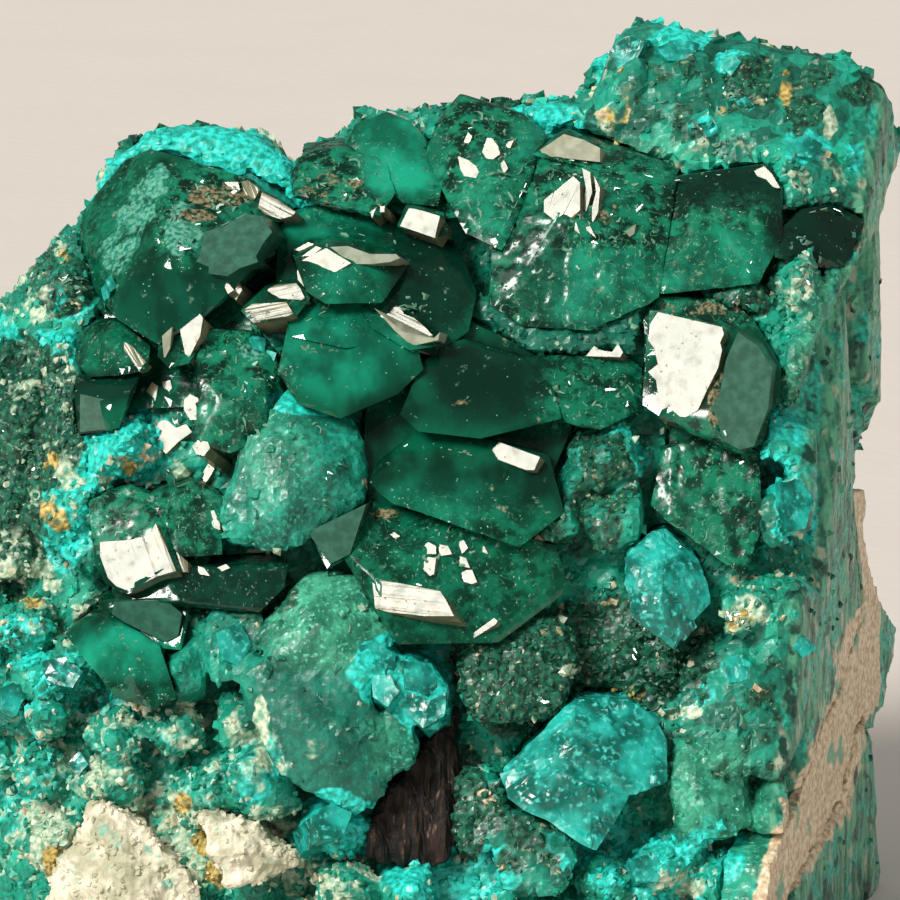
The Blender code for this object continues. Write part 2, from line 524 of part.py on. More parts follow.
def core():
    """The body of the mass, behind everything that shows on the front."""
    main = []
    for x in (-4.5, 2.0, 9.0, 22.0, 34.0, 38.5, 42.0):
        for up in (-5.0, 8.0, 20.0, 30.0):
            main.append(seen(x, up, -BODY_BEHIND))
    for x, y in ((-24.0, 8.0), (-13.0, 13.0), (3.0, 15.0), (16.0, 13.5), (22.0, 5.0)):
        main.append(Vector((x * 1.02, y * 1.03, -1.0)))
        main.append(Vector((x * 0.86, y * 0.86, 31.0)))
    behind = [Vector(point) for point in (
        (-9.0, 2.0, 30.0), (-8.0, 11.0, 28.0), (2.0, 1.0, 37.0), (8.0, 12.0, 36.0),
        (8.5, 1.0, 42.0), (12.0, 10.0, 40.5), (21.5, 3.0, 41.5), (20.0, 9.0, 38.0),
        (22.5, 0.0, 28.0), (21.0, 9.0, 22.0), (14.0, 13.0, 30.0), (0.0, 13.5, 22.0))]
    top = crystal(
        (8.0, 33.0, -3.0), (14.0, 35.0, -3.0), (24.0, 36.5, -3.2), (30.0, 38.0, -3.4),
        (38.0, 35.0, -3.0), (40.0, 28.0, -2.6), (20.0, 24.0, -2.6), (6.0, 26.0, -2.6),
        root=10, taper=0.85)
    block = crystal(
        (29.7, 39.6, -3.0), (30.6, 42.2, -3.0), (31.2, 43.4, -3.2), (32.2, 43.5, -3.2),
        (35.5, 42.8, -3.2), (38.5, 42.6, -3.0), (39.8, 42.6, -2.4), (41.2, 42.0, -1.6),
        (42.8, 41.9, 0.0), (43.9, 40.6, 1.2), (45.0, 39.2, 2.4), (45.1, 37.0, 2.4),
        (44.6, 34.5, 1.8), (40.0, 34.5, -0.4), (38.0, 36.4, -1.6), (30.0, 36.8, -2.0),
        (34.0, 39.5, -1.4), (40.0, 38.0, -0.6), root=9, taper=0.85)
    hill = crystal(
        (4.9, 33.5, -3.5), (5.0, 36.2, -3.8), (5.8, 37.1, -4.0), (8.0, 38.1, -4.6),
        (10.5, 38.5, -5.0), (12.9, 38.0, -4.8), (13.8, 37.2, -4.4), (14.8, 36.2, -4.0),
        (15.5, 34.5, -3.5), (8.0, 28.0, -2.4), root=11, taper=0.8)
    ridge = crystal(
        (16.8, 37.3, -3.6), (17.5, 38.0, -3.8), (20.4, 38.6, -4.0), (21.6, 38.8, -4.2),
        (22.4, 39.2, -4.4), (28.0, 39.3, -4.6), (29.5, 39.6, -4.4), (29.8, 38.0, -3.6),
        (22.0, 33.0, -2.6), (16.0, 33.0, -2.6), root=11, taper=0.8)
    left = crystal(
        (-5.0, 22.0, -1.0), (-3.5, 25.0, -1.0), (0.0, 28.4, -1.0), (1.0, 29.6, -1.0),
        (2.8, 31.5, -1.0), (3.0, 32.9, -1.2), (4.0, 33.1, -1.2), (5.5, 30.0, 0.0),
        (4.0, 27.0, 0.2), (4.0, 21.0, 0.8), (0.0, 20.0, 0.6), (-4.5, 16.0, 0.2), root=11)
    return [hull_faces(main), hull_faces(behind), top, block, hill, ridge, left]


def frosted_lumps():
    """The large frosted lumps and broken blocks that show on the front of the mass."""
    blocks = [
        crystal(
            (13.4, 25.3, 1.6), (15.3, 25.5, 1.4), (17.0, 24.5, 1.2), (18.0, 23.2, 1.2),
            (18.4, 21.6, 1.2), (18.3, 20.3, 1.4), (16.9, 18.9, 1.8), (15.3, 18.0, 2.0),
            (13.8, 17.4, 2.0), (11.6, 17.9, 1.8), (11.0, 19.2, 1.8), (12.4, 23.0, 2.4),
            (14.5, 23.5, 3.0), (16.4, 21.5, 3.0), (14.0, 19.5, 3.2), root=7),
        crystal(
            (13.2, 13.4, 2.0), (14.5, 15.2, 1.6), (15.6, 16.1, 1.4), (18.5, 16.0, 1.4),
            (19.1, 14.4, 1.8), (19.8, 13.1, 1.8), (18.0, 11.6, 2.8), (13.4, 11.6, 2.8),
            (16.0, 13.6, 3.2), root=6),
        crystal(
            (12.2, 11.8, 2.0), (12.2, 10.4, 2.2), (13.1, 8.2, 2.4), (14.1, 6.5, 2.6),
            (15.2, 5.8, 2.6), (16.4, 4.9, 2.6), (18.0, 4.4, 2.4), (19.1, 5.2, 2.2),
            (19.2, 6.4, 2.2), (18.9, 8.1, 2.4), (17.0, 10.4, 3.0), (18.0, 11.8, 2.6),
            (14.5, 9.5, 3.4), (16.5, 8.0, 3.6), root=7),
        crystal(
            (18.8, 8.4, 2.0), (19.4, 9.6, 2.0), (20.2, 9.4, 2.0), (20.9, 7.6, 1.8),
            (20.7, 7.0, 1.8), (19.4, 6.0, 2.0), (19.0, 6.3, 2.1), root=5),
        crystal(
            (18.0, 12.6, 2.4), (19.0, 12.8, 2.2), (19.8, 12.0, 2.2), (19.9, 10.0, 2.2),
            (18.1, 11.2, 2.9), root=5),
        crystal(
            (20.0, 11.9, 2.0), (20.5, 12.1, 2.0), (21.6, 11.5, 1.9), (22.3, 10.6, 1.8),
            (22.2, 9.4, 1.8), (21.8, 8.4, 2.0), (20.6, 9.0, 2.4), (20.1, 10.0, 2.4), root=5),
        crystal(
            (10.6, 14.4, 1.6), (12.0, 14.8, 1.6), (12.9, 14.2, 1.6), (13.0, 12.6, 1.9),
            (12.1, 11.0, 2.2), (10.6, 10.9, 2.2), (10.2, 13.0, 1.8), root=5),
        crystal(
            (38.3, 24.1, 1.6), (38.9, 24.0, 1.6), (40.7, 23.3, 1.6), (40.8, 21.0, 2.0),
            (39.9, 22.0, 2.4), (38.2, 22.3, 2.2), root=5),
        crystal(
            (37.9, 20.2, 1.4), (39.1, 20.1, 1.6), (39.4, 18.5, 1.8), (38.9, 17.7, 1.6),
            (38.0, 17.8, 1.4), root=5),
        crystal(
            (39.1, 20.8, 1.6), (40.3, 20.6, 1.8), (40.8, 19.6, 1.8), (40.2, 18.0, 2.0),
            (39.4, 18.5, 2.0), root=5),
        crystal(
            (39.0, 22.0, 2.0), (39.9, 21.9, 2.0), (41.0, 20.2, 1.8), (40.5, 20.3, 2.2),
            root=4),
        crystal(
            (33.5, 5.9, 1.6), (33.9, 7.6, 1.4), (34.3, 8.0, 1.2), (36.0, 6.5, 1.4),
            (37.3, 5.9, 1.2), (37.3, 3.6, 1.6), (36.2, 3.0, 2.0), (34.0, 3.2, 2.2),
            (35.0, 5.2, 2.6), root=6),
        crystal(
            (34.2, 10.9, 1.0), (35.0, 12.4, 0.8), (37.0, 13.0, 0.8), (39.6, 14.6, 0.4),
            (41.4, 13.2, 0.6), (41.0, 10.5, 1.0), (40.3, 7.5, 1.2), (38.5, 6.0, 1.4),
            (35.5, 7.0, 1.8), (34.0, 9.0, 1.6), (37.5, 10.0, 2.2), root=7),
        crystal(
            (38.0, 13.2, 1.0), (38.4, 15.9, 0.8), (40.0, 15.9, 0.8), (41.6, 14.4, 0.8),
            (41.0, 12.6, 1.2), (39.5, 14.4, 1.8), root=6),
        crystal(
            (36.1, 15.1, 1.4), (36.9, 15.4, 1.4), (38.3, 15.8, 1.2), (38.3, 14.4, 1.6),
            (37.3, 13.1, 1.8), (36.3, 13.9, 1.8), root=5),
        crystal(
            (22.9, 6.1, 1.4), (23.1, 2.6, 2.0), (24.2, 2.2, 2.2), (25.2, 5.0, 1.8),
            (24.9, 6.1, 1.6), root=6),
        crystal(
            (24.6, 4.4, 1.6), (26.5, 4.2, 2.0), (28.3, 3.4, 2.0), (28.8, 2.2, 2.4),
            (28.0, 0.3, 2.6), (25.0, 0.4, 2.6), root=6),
        crystal(
            (32.7, 30.0, 0.6), (29.0, 28.2, 1.2), (26.0, 28.6, 1.0), (24.4, 29.4, 0.6),
            (26.5, 27.4, 1.0), (31.4, 27.6, 0.9), root=6),
        crystal(
            (23.4, 13.0, 1.0), (26.2, 14.0, 0.9), (28.2, 13.9, 0.8), (28.8, 12.0, 0.9),
            (27.8, 9.0, 1.2), (24.0, 8.8, 1.4), (22.9, 10.4, 1.2), (25.6, 11.4, 2.0), root=6),
    ]
    blocks += [
        lump(27.7, 19.0, 1.6, 1.7, 1.5),
        lump(30.3, 22.2, 1.2, 2.1, 1.7),
        lump(30.9, 19.0, 1.6, 1.8, 1.8),
        lump(28.9, 21.0, 1.0, 1.3, 1.3),
        lump(9.3, 11.5, 1.6, 1.4, 1.7),
        lump(9.2, 14.0, 0.6, 1.2, 1.2),
        lump(2.8, 11.2, 1.4, 2.2, 1.3),
        lump(0.2, 10.0, 1.2, 1.4, 1.3),
        lump(2.4, 9.3, 1.7, 1.4, 1.3),
        lump(5.9, 8.2, 1.4, 1.6, 1.4),
        lump(8.6, 8.6, 1.4, 1.8, 1.2),
        lump(20.4, 0.4, 2.4, 1.9, 1.5),
        lump(16.8, 3.6, 1.8, 1.8, 1.4),
        lump(17.4, 0.6, 1.8, 1.9, 1.6),
        lump(30.2, 0.9, 2.0, 1.5, 1.5),
        lump(33.0, 1.6, 1.8, 2.0, 1.5),
        lump(35.8, 1.0, 1.6, 1.6, 1.8),
        lump(38.4, 4.0, 0.8, 1.4, 2.6),
        lump(6.2, 22.6, 1.0, 2.1, 1.7),
        lump(3.0, 19.0, 0.9, 1.8, 1.8),
        lump(1.4, 23.8, 0.6, 2.4, 3.0),
        lump(2.9, 27.6, 0.6, 1.3, 1.0),
        lump(0.3, 27.4, 0.4, 1.4, 1.2),
        lump(3.4, 30.6, 0.6, 1.6, 1.7),
        lump(36.6, 30.2, 0.8, 1.8, 1.2),
        lump(39.9, 30.6, 0.6, 1.4, 2.2),
        lump(39.4, 27.4, 0.6, 1.3, 1.6),
        lump(30.9, 11.9, -1.6, 1.6, 1.2),
        lump(33.2, 11.6, -0.4, 1.2, 1.2),
        lump(34.2, 2.8, 1.6, 1.3, 1.1),
        lump(12.8, 6.4, 1.6, 1.6, 1.8),
        lump(12.0, 8.8, 1.4, 1.2, 1.7),
    ]
    return blocks


def strip():
    """The narrow flat ledge that runs down between the front and the sheared face."""
    inner = ((44.1, 36.6), (43.1, 34.0), (41.6, 31.4), (40.5, 29.4), (39.7, 27.0), (39.1, 25.0))
    outer = ((45.0, 37.2), (44.2, 34.2), (42.5, 31.4), (41.2, 29.3), (40.3, 27.0), (39.7, 25.0))
    blocks = []
    for first in range(0, len(inner) - 1):
        corners = [(x, up, 1.1) for x, up in inner[first:first + 2]]
        corners += [(x, up, 1.3) for x, up in outer[first:first + 2]]
        blocks.append(crystal(*corners, root=6, taper=1.2))
    return blocks


def scattered(x_range, up_range, columns, rows, size, out):
    """Broken lumps in a jittered grid over a stretch of the front."""
    blocks = []
    for column in range(columns):
        for row in range(rows):
            x = x_range[0] + (column + random.uniform(0.1, 0.9)) * (
                x_range[1] - x_range[0]) / columns
            up = up_range[0] + (row + random.uniform(0.1, 0.9)) * (
                up_range[1] - up_range[0]) / rows
            wide = size * random.uniform(0.75, 1.25)
            tall = size * random.uniform(0.75, 1.25)
            blocks.append(lump(x, up, out + random.uniform(-0.5, 0.5), wide, tall))
    return blocks


def nearest_hit(start, way, blocks):
    """Where a line first meets any of some blocks, or None."""
    best = None
    for faces in blocks:
        enter, leave = 0.0, 1e9
        for normal, distance in faces:
            slope = normal.dot(way)
            room = distance - normal.dot(start)
            if abs(slope) < 1e-9:
                if room < 0:
                    leave = -1.0
            elif slope < 0:
                enter = max(enter, room / slope)
            else:
                leave = min(leave, room / slope)
        if enter < leave and (best is None or enter < best):
            best = enter
    return None if best is None else start + way * best


def broken_sides(body):
    """Broad broken faces over the left end, the back and the top, which the front hides."""
    blocks = []
    rounds = ((1.0, 7), (9.5, 7), (18.0, 7), (26.0, 6))
    for height, count in rounds:
        for index in range(count):
            turn = radians(-14 + 200 * (index + random.uniform(0.25, 0.75)) / count)
            way = Vector((cos(turn), -sin(turn), random.uniform(-0.15, 0.15))).normalized()
            start = Vector((-2.0, 0.0, height + random.uniform(-2.0, 2.0))) - way * 70.0
            place = nearest_hit(start, way, body)
            if place is not None:
                blocks.append(broad_lump(place, way))
    for index in range(11):
        x = -17.0 + 36.0 * (index + random.random()) / 11
        place = nearest_hit(Vector((x, random.uniform(1, 11), 90.0)), Vector((0, 0, -1)), body)
        if place is not None:
            blocks.append(broad_lump(place, Vector((0, 0, -1))))
    return blocks


def broad_lump(place, inward):
    """A broad lump that stands only a little out of the body at a world point."""
    radii = Vector([SIDE_LUMP * random.uniform(0.75, 1.2) for _ in range(3)])
    depth = sqrt(sum((radii[axis] * inward[axis]) ** 2 for axis in range(3)))
    return lump_at(place + inward * (depth - random.uniform(0.7, 1.9)), radii)


def massive_dioptase():
    """The broken mass of granular and frosted dioptase that everything grows from."""
    body = core()
    blocks = body + frosted_lumps() + strip() + broken_sides(body)
    blocks += scattered((-5.0, 0.5), (-3.0, 27.0), 2, 5, 2.5, 0.0)
    blocks += scattered((0.0, 5.0), (11.5, 22.0), 2, 3, 1.6, 0.4)
    blocks += scattered((0.0, 15.0), (-3.5, 8.0), 4, 3, 2.0, 0.5)
    blocks += scattered((15.0, 38.0), (-3.5, 1.0), 7, 1, 2.2, 0.6)
    blocks += scattered((31.0, 44.0), (37.0, 42.0), 5, 2, 1.8, -2.6)
    return blocks


def build():
    clear_scene()
    emerald = material("dark_dioptase", (0.004, 0.075, 0.048), 0.06)
    teal = material("massive_dioptase", (0.014, 0.235, 0.175), 0.35)
    turquoise = material("pale_dioptase", (0.02, 0.46, 0.36), 0.25)
    cream = material("calcite", (0.78, 0.70, 0.55), 0.55)
    tan = material("stained_calcite", (0.62, 0.48, 0.30), 0.6)
    brown = material("limonite", (0.045, 0.022, 0.010), 0.8)
    plan = (
        ("calcite_vein", calcite_vein, tan),
        ("limonite_pocket", limonite_pocket, brown),
        ("calcite_patch", calcite_patch, cream),
        ("calcite_grain", calcite_grain, cream),
        ("cleavage_piece", cleavage_piece, turquoise),
        ("turquoise_crystal", turquoise_crystal, turquoise),
        ("central_crystals", central_crystals, emerald),
        ("left_crystals", left_crystals, emerald),
        ("upper_crystals", upper_crystals, emerald),
        ("shelf_crystals", shelf_crystals, emerald),
        ("right_crystals", right_crystals, emerald),
        ("lower_left_crystals", lower_left_crystals, emerald),
        ("massive_dioptase", massive_dioptase, teal),
    )
    neighbours = []
    for name, shape, finish in plan:
        blocks = shape()
        node(name, blocks, neighbours, finish)
        neighbours.append(merged(blocks, GAP))


build()
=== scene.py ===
"""A dioptase specimen, dressed over its solids. Shapes are made in mm and turned into metres."""
import json
import random
from math import cos, hypot, pi, radians, sin, sqrt

import bmesh
import bpy
import numpy as np
from mathutils import Matrix, Vector, noise
from mathutils.bvhtree import BVHTree

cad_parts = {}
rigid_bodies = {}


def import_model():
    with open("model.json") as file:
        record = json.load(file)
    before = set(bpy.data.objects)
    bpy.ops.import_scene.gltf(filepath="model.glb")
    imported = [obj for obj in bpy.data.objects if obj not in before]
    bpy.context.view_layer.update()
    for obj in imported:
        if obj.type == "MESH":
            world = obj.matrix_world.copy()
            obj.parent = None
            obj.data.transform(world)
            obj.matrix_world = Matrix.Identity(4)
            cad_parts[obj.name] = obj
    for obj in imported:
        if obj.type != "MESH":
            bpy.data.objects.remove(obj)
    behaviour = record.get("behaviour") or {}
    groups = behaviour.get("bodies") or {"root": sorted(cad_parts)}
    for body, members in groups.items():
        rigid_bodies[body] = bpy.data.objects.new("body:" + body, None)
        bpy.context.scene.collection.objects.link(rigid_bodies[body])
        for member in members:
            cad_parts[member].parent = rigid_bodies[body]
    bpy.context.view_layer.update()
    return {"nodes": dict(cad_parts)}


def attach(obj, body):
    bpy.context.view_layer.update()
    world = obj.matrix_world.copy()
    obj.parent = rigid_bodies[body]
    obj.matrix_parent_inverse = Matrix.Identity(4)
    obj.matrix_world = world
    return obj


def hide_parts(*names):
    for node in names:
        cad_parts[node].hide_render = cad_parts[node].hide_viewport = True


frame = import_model()


# STUDIO
# A pale warm-grey table seen from a little above, soft light from the upper left in
# front, and a long lens on the crystal-covered front.
VIEW_HEIGHT = radians(10.0)
VIEW_DISTANCE = 400.0
VIEW_AIM = Vector((0.0, -8.0, 25.3))
FRONT_MIDDLE = 22.5
AHEAD = Vector((0.0, cos(VIEW_HEIGHT), -sin(VIEW_HEIGHT)))
ABOVE = Vector((0.0, sin(VIEW_HEIGHT), cos(VIEW_HEIGHT)))
EYE = VIEW_AIM - AHEAD * VIEW_DISTANCE
LIGHT_WAY = Vector((-0.50, -0.60, 0.60)).normalized()
MIRROR_WAY = (LIGHT_WAY - AHEAD).normalized()
random.seed(7)
noise.seed_set(7)

lens = bpy.data.cameras.new("front_view")
lens.sensor_width = 36.0
lens.lens = 18.0 * VIEW_DISTANCE / FRONT_MIDDLE
lens.clip_start = 0.01
lens.clip_end = 20.0
camera = bpy.data.objects.new("front_view", lens)
camera.location = EYE * 0.001
camera.rotation_euler = AHEAD.to_track_quat("-Z", "Y").to_euler()
bpy.context.scene.collection.objects.link(camera)
bpy.context.scene.camera = camera
bpy.context.scene.view_settings.view_transform = "Standard"
bpy.context.scene.cycles.max_bounces = 4
bpy.context.scene.cycles.diffuse_bounces = 2
bpy.context.scene.cycles.glossy_bounces = 2
bpy.context.scene.cycles.transmission_bounces = 3

lamp = bpy.data.lights.new("soft_key", "SUN")
lamp.energy = 3.55
lamp.angle = radians(20.0)
lamp.color = (1.0, 0.965, 0.91)
key = bpy.data.objects.new("soft_key", lamp)
key.rotation_euler = LIGHT_WAY.to_track_quat("Z", "Y").to_euler()
bpy.context.scene.collection.objects.link(key)

world = bpy.data.worlds.new("studio")
world.use_nodes = True
bpy.context.scene.world = world
sky = world.node_tree
sky.nodes["Background"].inputs["Color"].default_value = (0.80, 0.78, 0.74, 1.0)
sky.nodes["Background"].inputs["Strength"].default_value = 0.55
plain = sky.nodes.new("ShaderNodeBackground")
plain.inputs["Color"].default_value = (0.75, 0.68, 0.61, 1.0)
dim = sky.nodes.new("ShaderNodeBackground")
dim.inputs["Color"].default_value = (0.34, 0.36, 0.34, 1.0)
dim.inputs["Strength"].default_value = 0.35
path = sky.nodes.new("ShaderNodeLightPath")
for_mirrors = sky.nodes.new("ShaderNodeMixShader")
sky.links.new(path.outputs["Is Glossy Ray"], for_mirrors.inputs["Fac"])
sky.links.new(sky.nodes["Background"].outputs[0], for_mirrors.inputs[1])
sky.links.new(dim.outputs[0], for_mirrors.inputs[2])
for_eye = sky.nodes.new("ShaderNodeMixShader")
sky.links.new(path.outputs["Is Camera Ray"], for_eye.inputs["Fac"])
sky.links.new(for_mirrors.outputs[0], for_eye.inputs[1])
sky.links.new(plain.outputs[0], for_eye.inputs[2])
sky.links.new(for_eye.outputs[0], sky.nodes["World Output"].inputs["Surface"])


class Finish:
    """A node material under construction. Lengths in its patterns are in mm."""

    def __init__(self, name, roughness=0.5, ior=1.5, transmission=0.0, specular=0.5):
        self.made = bpy.data.materials.new(name)
        self.made.use_nodes = True
        self.tree = self.made.node_tree
        self.shader = self.tree.nodes["Principled BSDF"]
        self.shader.inputs["Roughness"].default_value = roughness
        self.shader.inputs["IOR"].default_value = ior
        self.shader.inputs["Transmission Weight"].default_value = transmission
        self.shader.inputs["Specular IOR Level"].default_value = specular
        self.place = self.add("ShaderNodeTexCoord").outputs["Object"]

    def add(self, kind, **settings):
        """A new node of a kind, with its settings."""
        item = self.tree.nodes.new(kind)
        for name, value in settings.items():
            setattr(item, name, value)
        return item

    def join(self, value, socket):
        """Link a socket to another, or give it a plain value."""
        if isinstance(value, bpy.types.NodeSocket):
            self.tree.links.new(value, socket)
        else:
            socket.default_value = value

    def grain(self, size, detail=3.0, stretch=(1, 1, 1), turn=(0, 0, 0), shift=0.0, rough=0.5):
        """Soft noise of a grain size in mm, drawn out along the axes by stretch."""
        spread = self.add("ShaderNodeMapping")
        spread.inputs["Rotation"].default_value = turn
        spread.inputs["Location"].default_value = (shift, shift, shift)
        spread.inputs["Scale"].default_value = [1000.0 / (size * part) for part in stretch]
        self.join(self.place, spread.inputs["Vector"])
        cloud = self.add("ShaderNodeTexNoise")
        cloud.inputs["Scale"].default_value = 1.0
        cloud.inputs["Detail"].default_value = detail
        cloud.inputs["Roughness"].default_value = rough
        self.join(spread.outputs["Vector"], cloud.inputs["Vector"])
        return cloud.outputs["Fac"]

    def cells(self, size, output):
        """Broken cells of a size in mm, as their colour or the distance from their middle."""
        spread = self.add("ShaderNodeMapping")
        spread.inputs["Scale"].default_value = [1000.0 / size] * 3
        self.join(self.place, spread.inputs["Vector"])
        broken = self.add("ShaderNodeTexVoronoi")
        broken.inputs["Scale"].default_value = 1.0
        self.join(spread.outputs["Vector"], broken.inputs["Vector"])
        return broken.outputs[output]

    def math(self, operation, first, second=0.0, third=None):
        """A sum of two or three values."""
        item = self.add("ShaderNodeMath", operation=operation)
        self.join(first, item.inputs[0])
        self.join(second, item.inputs[1])
        if third is not None:
            self.join(third, item.inputs[2])
        return item.outputs[0]

    def ramp(self, value, low, high, to_low=0.0, to_high=1.0):
        """A value that goes smoothly from to_low to to_high between low and high."""
        item = self.add("ShaderNodeMapRange", interpolation_type="SMOOTHSTEP")
        for index, part in enumerate((value, low, high, to_low, to_high)):
            self.join(part, item.inputs[index])
        return item.outputs["Result"]

    def mix(self, share, first, second):
        """The first colour, with a share of the second. Sockets 6 and 7 take the colours."""
        item = self.add("ShaderNodeMix", data_type="RGBA")
        self.join(share, item.inputs["Factor"])
        for index, colour in ((6, first), (7, second)):
            if isinstance(colour, tuple):
                colour = (*colour, 1.0)
            self.join(colour, item.inputs[index])
        return item.outputs[2]

    def zone(self, name):
        """The strength, from 0 to 1, of a zone that is written on the mesh."""
        item = self.add("ShaderNodeAttribute", attribute_name=name)
        return item.outputs["Fac"]

    def bump(self, height, distance, under=None):
        """Low relief of a height from 0 to 1 times a distance in mm."""
        item = self.add("ShaderNodeBump")
        item.inputs["Distance"].default_value = distance * 0.001
        self.join(height, item.inputs["Height"])
        if under is not None:
            self.join(under, item.inputs["Normal"])
        return item.outputs["Normal"]

    def set(self, **values):
        """Link the shader's sockets by their names."""
        for name, value in values.items():
            self.join(value, self.shader.inputs[name.replace("_", " ").title()])

    def absorb(self, colour, density):
        """Colour the light that passes through the piece."""
        inside = self.add("ShaderNodeVolumeAbsorption")
        inside.inputs["Color"].default_value = (*colour, 1.0)
        inside.inputs["Density"].default_value = density
        self.join(inside.outputs[0], self.tree.nodes["Material Output"].inputs["Volume"])


table = Finish("pale_table", roughness=0.75)
cloth = table.grain(14.0, 4.0)
table.set(base_color=table.mix(cloth, (0.70, 0.640, 0.595), (0.74, 0.680, 0.632)),
          normal=table.bump(table.grain(1.4), 0.05))
floor_mesh = bmesh.new()
bmesh.ops.create_circle(floor_mesh, cap_ends=True, radius=3.0, segments=64)
floor_data = bpy.data.meshes.new("table_top")
floor_mesh.to_mesh(floor_data)
floor_mesh.free()
floor_data.materials.append(table.made)
floor = bpy.data.objects.new("table_top", floor_data)
bpy.context.scene.collection.objects.link(floor)


# DARK CRYSTALS
# Stout emerald-green dioptase prisms ended by three slanting faces, grown through one
# another. Some faces are glassy, others are etched into low curls and steps.
CRYSTAL_NODES = ("central_crystals", "left_crystals", "upper_crystals", "shelf_crystals",
                 "right_crystals", "lower_left_crystals")
# Etched places in front measures: x, up, half width, half height, strength
ETCHED = (
    (10.5, 35.0, 2.2, 1.4, 1.0), (9.2, 33.6, 1.2, 1.5, 0.8), (5.6, 34.8, 1.6, 3.4, 0.45),
    (16.8, 36.0, 2.8, 1.8, 1.0), (24.3, 36.6, 2.6, 3.4, 1.0), (29.5, 32.5, 4.4, 4.6, 1.0),
    (36.0, 32.6, 3.2, 2.4, 0.8), (28.6, 37.6, 2.4, 0.8, 0.4), (11.8, 25.4, 2.4, 3.4, 1.0),
    (35.4, 19.8, 3.0, 3.8, 1.0), (19.4, 30.0, 5.0, 1.6, 0.3), (22.6, 16.8, 4.6, 3.0, 0.5),
    (6.0, 19.4, 2.6, 1.8, 1.0), (29.5, 25.2, 2.6, 1.8, 0.6), (35.5, 29.4, 3.4, 0.8, 0.8),
    (20.6, 36.0, 1.6, 2.4, 0.3), (5.8, 27.4, 1.6, 1.4, 0.4), (12.0, 15.6, 3.4, 1.4, 0.5),
    (7.0, 11.6, 2.2, 2.0, 0.35), (9.8, 18.8, 1.6, 2.0, 0.8))


# Places on the crystals painted brighter emerald, as painted light shining through them and along their
# rims, and places painted nearly black
LIGHT = (
    (20.0, 37.4, 1.8, 1.9, 1.0), (17.4, 27.4, 2.6, 2.0, 0.55), (16.5, 34.0, 2.2, 0.8, 0.5),
    (17.6, 31.0, 1.8, 0.7, 0.3), (6.4, 12.4, 2.4, 1.2, 0.9), (12.4, 34.0, 1.2, 0.7, 0.35),
    (9.8, 29.4, 1.6, 1.2, 0.3), (26.4, 38.2, 0.8, 1.0, 0.5), (22.0, 20.0, 2.6, 1.0, 0.25),
    (30.0, 30.6, 3.6, 1.6, 0.5), (35.8, 32.0, 2.4, 1.3, 0.5), (34.6, 18.6, 1.6, 2.0, 0.3),
    (24.6, 35.4, 1.4, 2.0, 0.35), (29.8, 35.0, 2.0, 1.0, 0.3), (11.8, 24.4, 1.4, 1.6, 0.3),
    (5.2, 34.6, 0.8, 2.0, 0.2))
DEEP = (
    (21.6, 31.0, 2.0, 2.2, 0.85), (24.4, 25.8, 2.4, 1.8, 0.75), (41.0, 33.2, 2.2, 1.6, 0.9),
    (36.4, 35.6, 2.6, 0.9, 0.7), (22.6, 24.6, 1.6, 0.8, 0.5), (5.4, 25.7, 1.8, 0.7, 0.8),
    (11.6, 15.5, 2.8, 1.2, 0.8), (8.6, 30.0, 2.4, 1.4, 0.45), (38.6, 19.2, 0.8, 1.3, 0.7),
    (27.0, 32.0, 1.4, 2.4, 0.4), (24.6, 20.6, 3.0, 0.9, 0.25))


# Whitish cyan crust, golden loops and steep furrows on the big crystal at the left
CRUST = (
    (7.8, 36.0, 0.55, 0.8, 0.75), (7.1, 34.9, 0.6, 0.9, 0.7), (6.5, 33.6, 0.65, 1.0, 0.75),
    (5.8, 32.3, 0.7, 0.9, 0.7), (9.1, 33.5, 0.8, 1.1, 0.8), (4.7, 19.0, 0.3, 0.3, 0.8),
    (12.6, 27.4, 0.5, 0.4, 0.6))
GOLDEN = (
    (10.9, 35.2, 1.4, 0.5, 0.8), (9.8, 34.2, 0.7, 0.3, 1.0), (16.6, 35.4, 1.4, 0.8, 0.4),
    (35.7, 25.4, 0.35, 1.5, 0.9), (22.8, 24.6, 1.0, 0.4, 0.22), (30.2, 34.2, 0.6, 0.8, 0.4),
    (35.2, 29.6, 2.0, 0.3, 0.5), (19.3, 19.3, 0.7, 0.2, 0.6))
STRIATED = ((5.6, 34.6, 1.6, 2.8, 1.0),)


def mm_copy(name):
    """A copy of a CAD node in mm, with its loose triangles joined at their shared corners."""
    mesh = bmesh.new()
    mesh.from_mesh(frame["nodes"][name].data)
    bmesh.ops.scale(mesh, vec=(1000.0, 1000.0, 1000.0), verts=mesh.verts)
    bmesh.ops.remove_doubles(mesh, verts=mesh.verts, dist=0.002)
    return mesh


def front_measures(points):
    """Front measures (x, up) of an array of points in mm, as the camera sees them."""
    off = points - np.array(EYE)
    far = off @ np.array(AHEAD) / VIEW_DISTANCE
    return off[:, 0] / far + FRONT_MIDDLE, off @ np.array(ABOVE) / far + FRONT_MIDDLE


def zone_strengths(points, places):
    """How strongly points in mm lie in a list of rounded places on the front."""
    x, up = front_measures(points)
    best = np.zeros(len(points))
    for middle_x, middle_up, wide, tall, strength in places:
        reach = ((x - middle_x) / wide) ** 2 + ((up - middle_up) / tall) ** 2
        best = np.maximum(best, strength * np.clip(2.0 - reach, 0.0, 1.0))
    return best


CLOSER = 0.15           # how far crystals and mass are let out, to meet each other


def split_long_edges(mesh, longest, places=None):
    """Halve edges until none is longer than a length, everywhere or in some places."""
    for _ in range(8):
        edges = [edge for edge in mesh.edges if edge.calc_length() > longest]
        if edges and places:
            middles = np.array([(edge.verts[0].co + edge.verts[1].co) / 2 for edge in edges])
            strong = zone_strengths(middles, places) > 0.05
            edges = [edge for edge, wanted in zip(edges, strong) if wanted]
        if not edges:
            break
        bmesh.ops.subdivide_edges(mesh, edges=edges, cuts=1)
        bmesh.ops.triangulate(mesh, faces=[face for face in mesh.faces if len(face.verts) > 3])


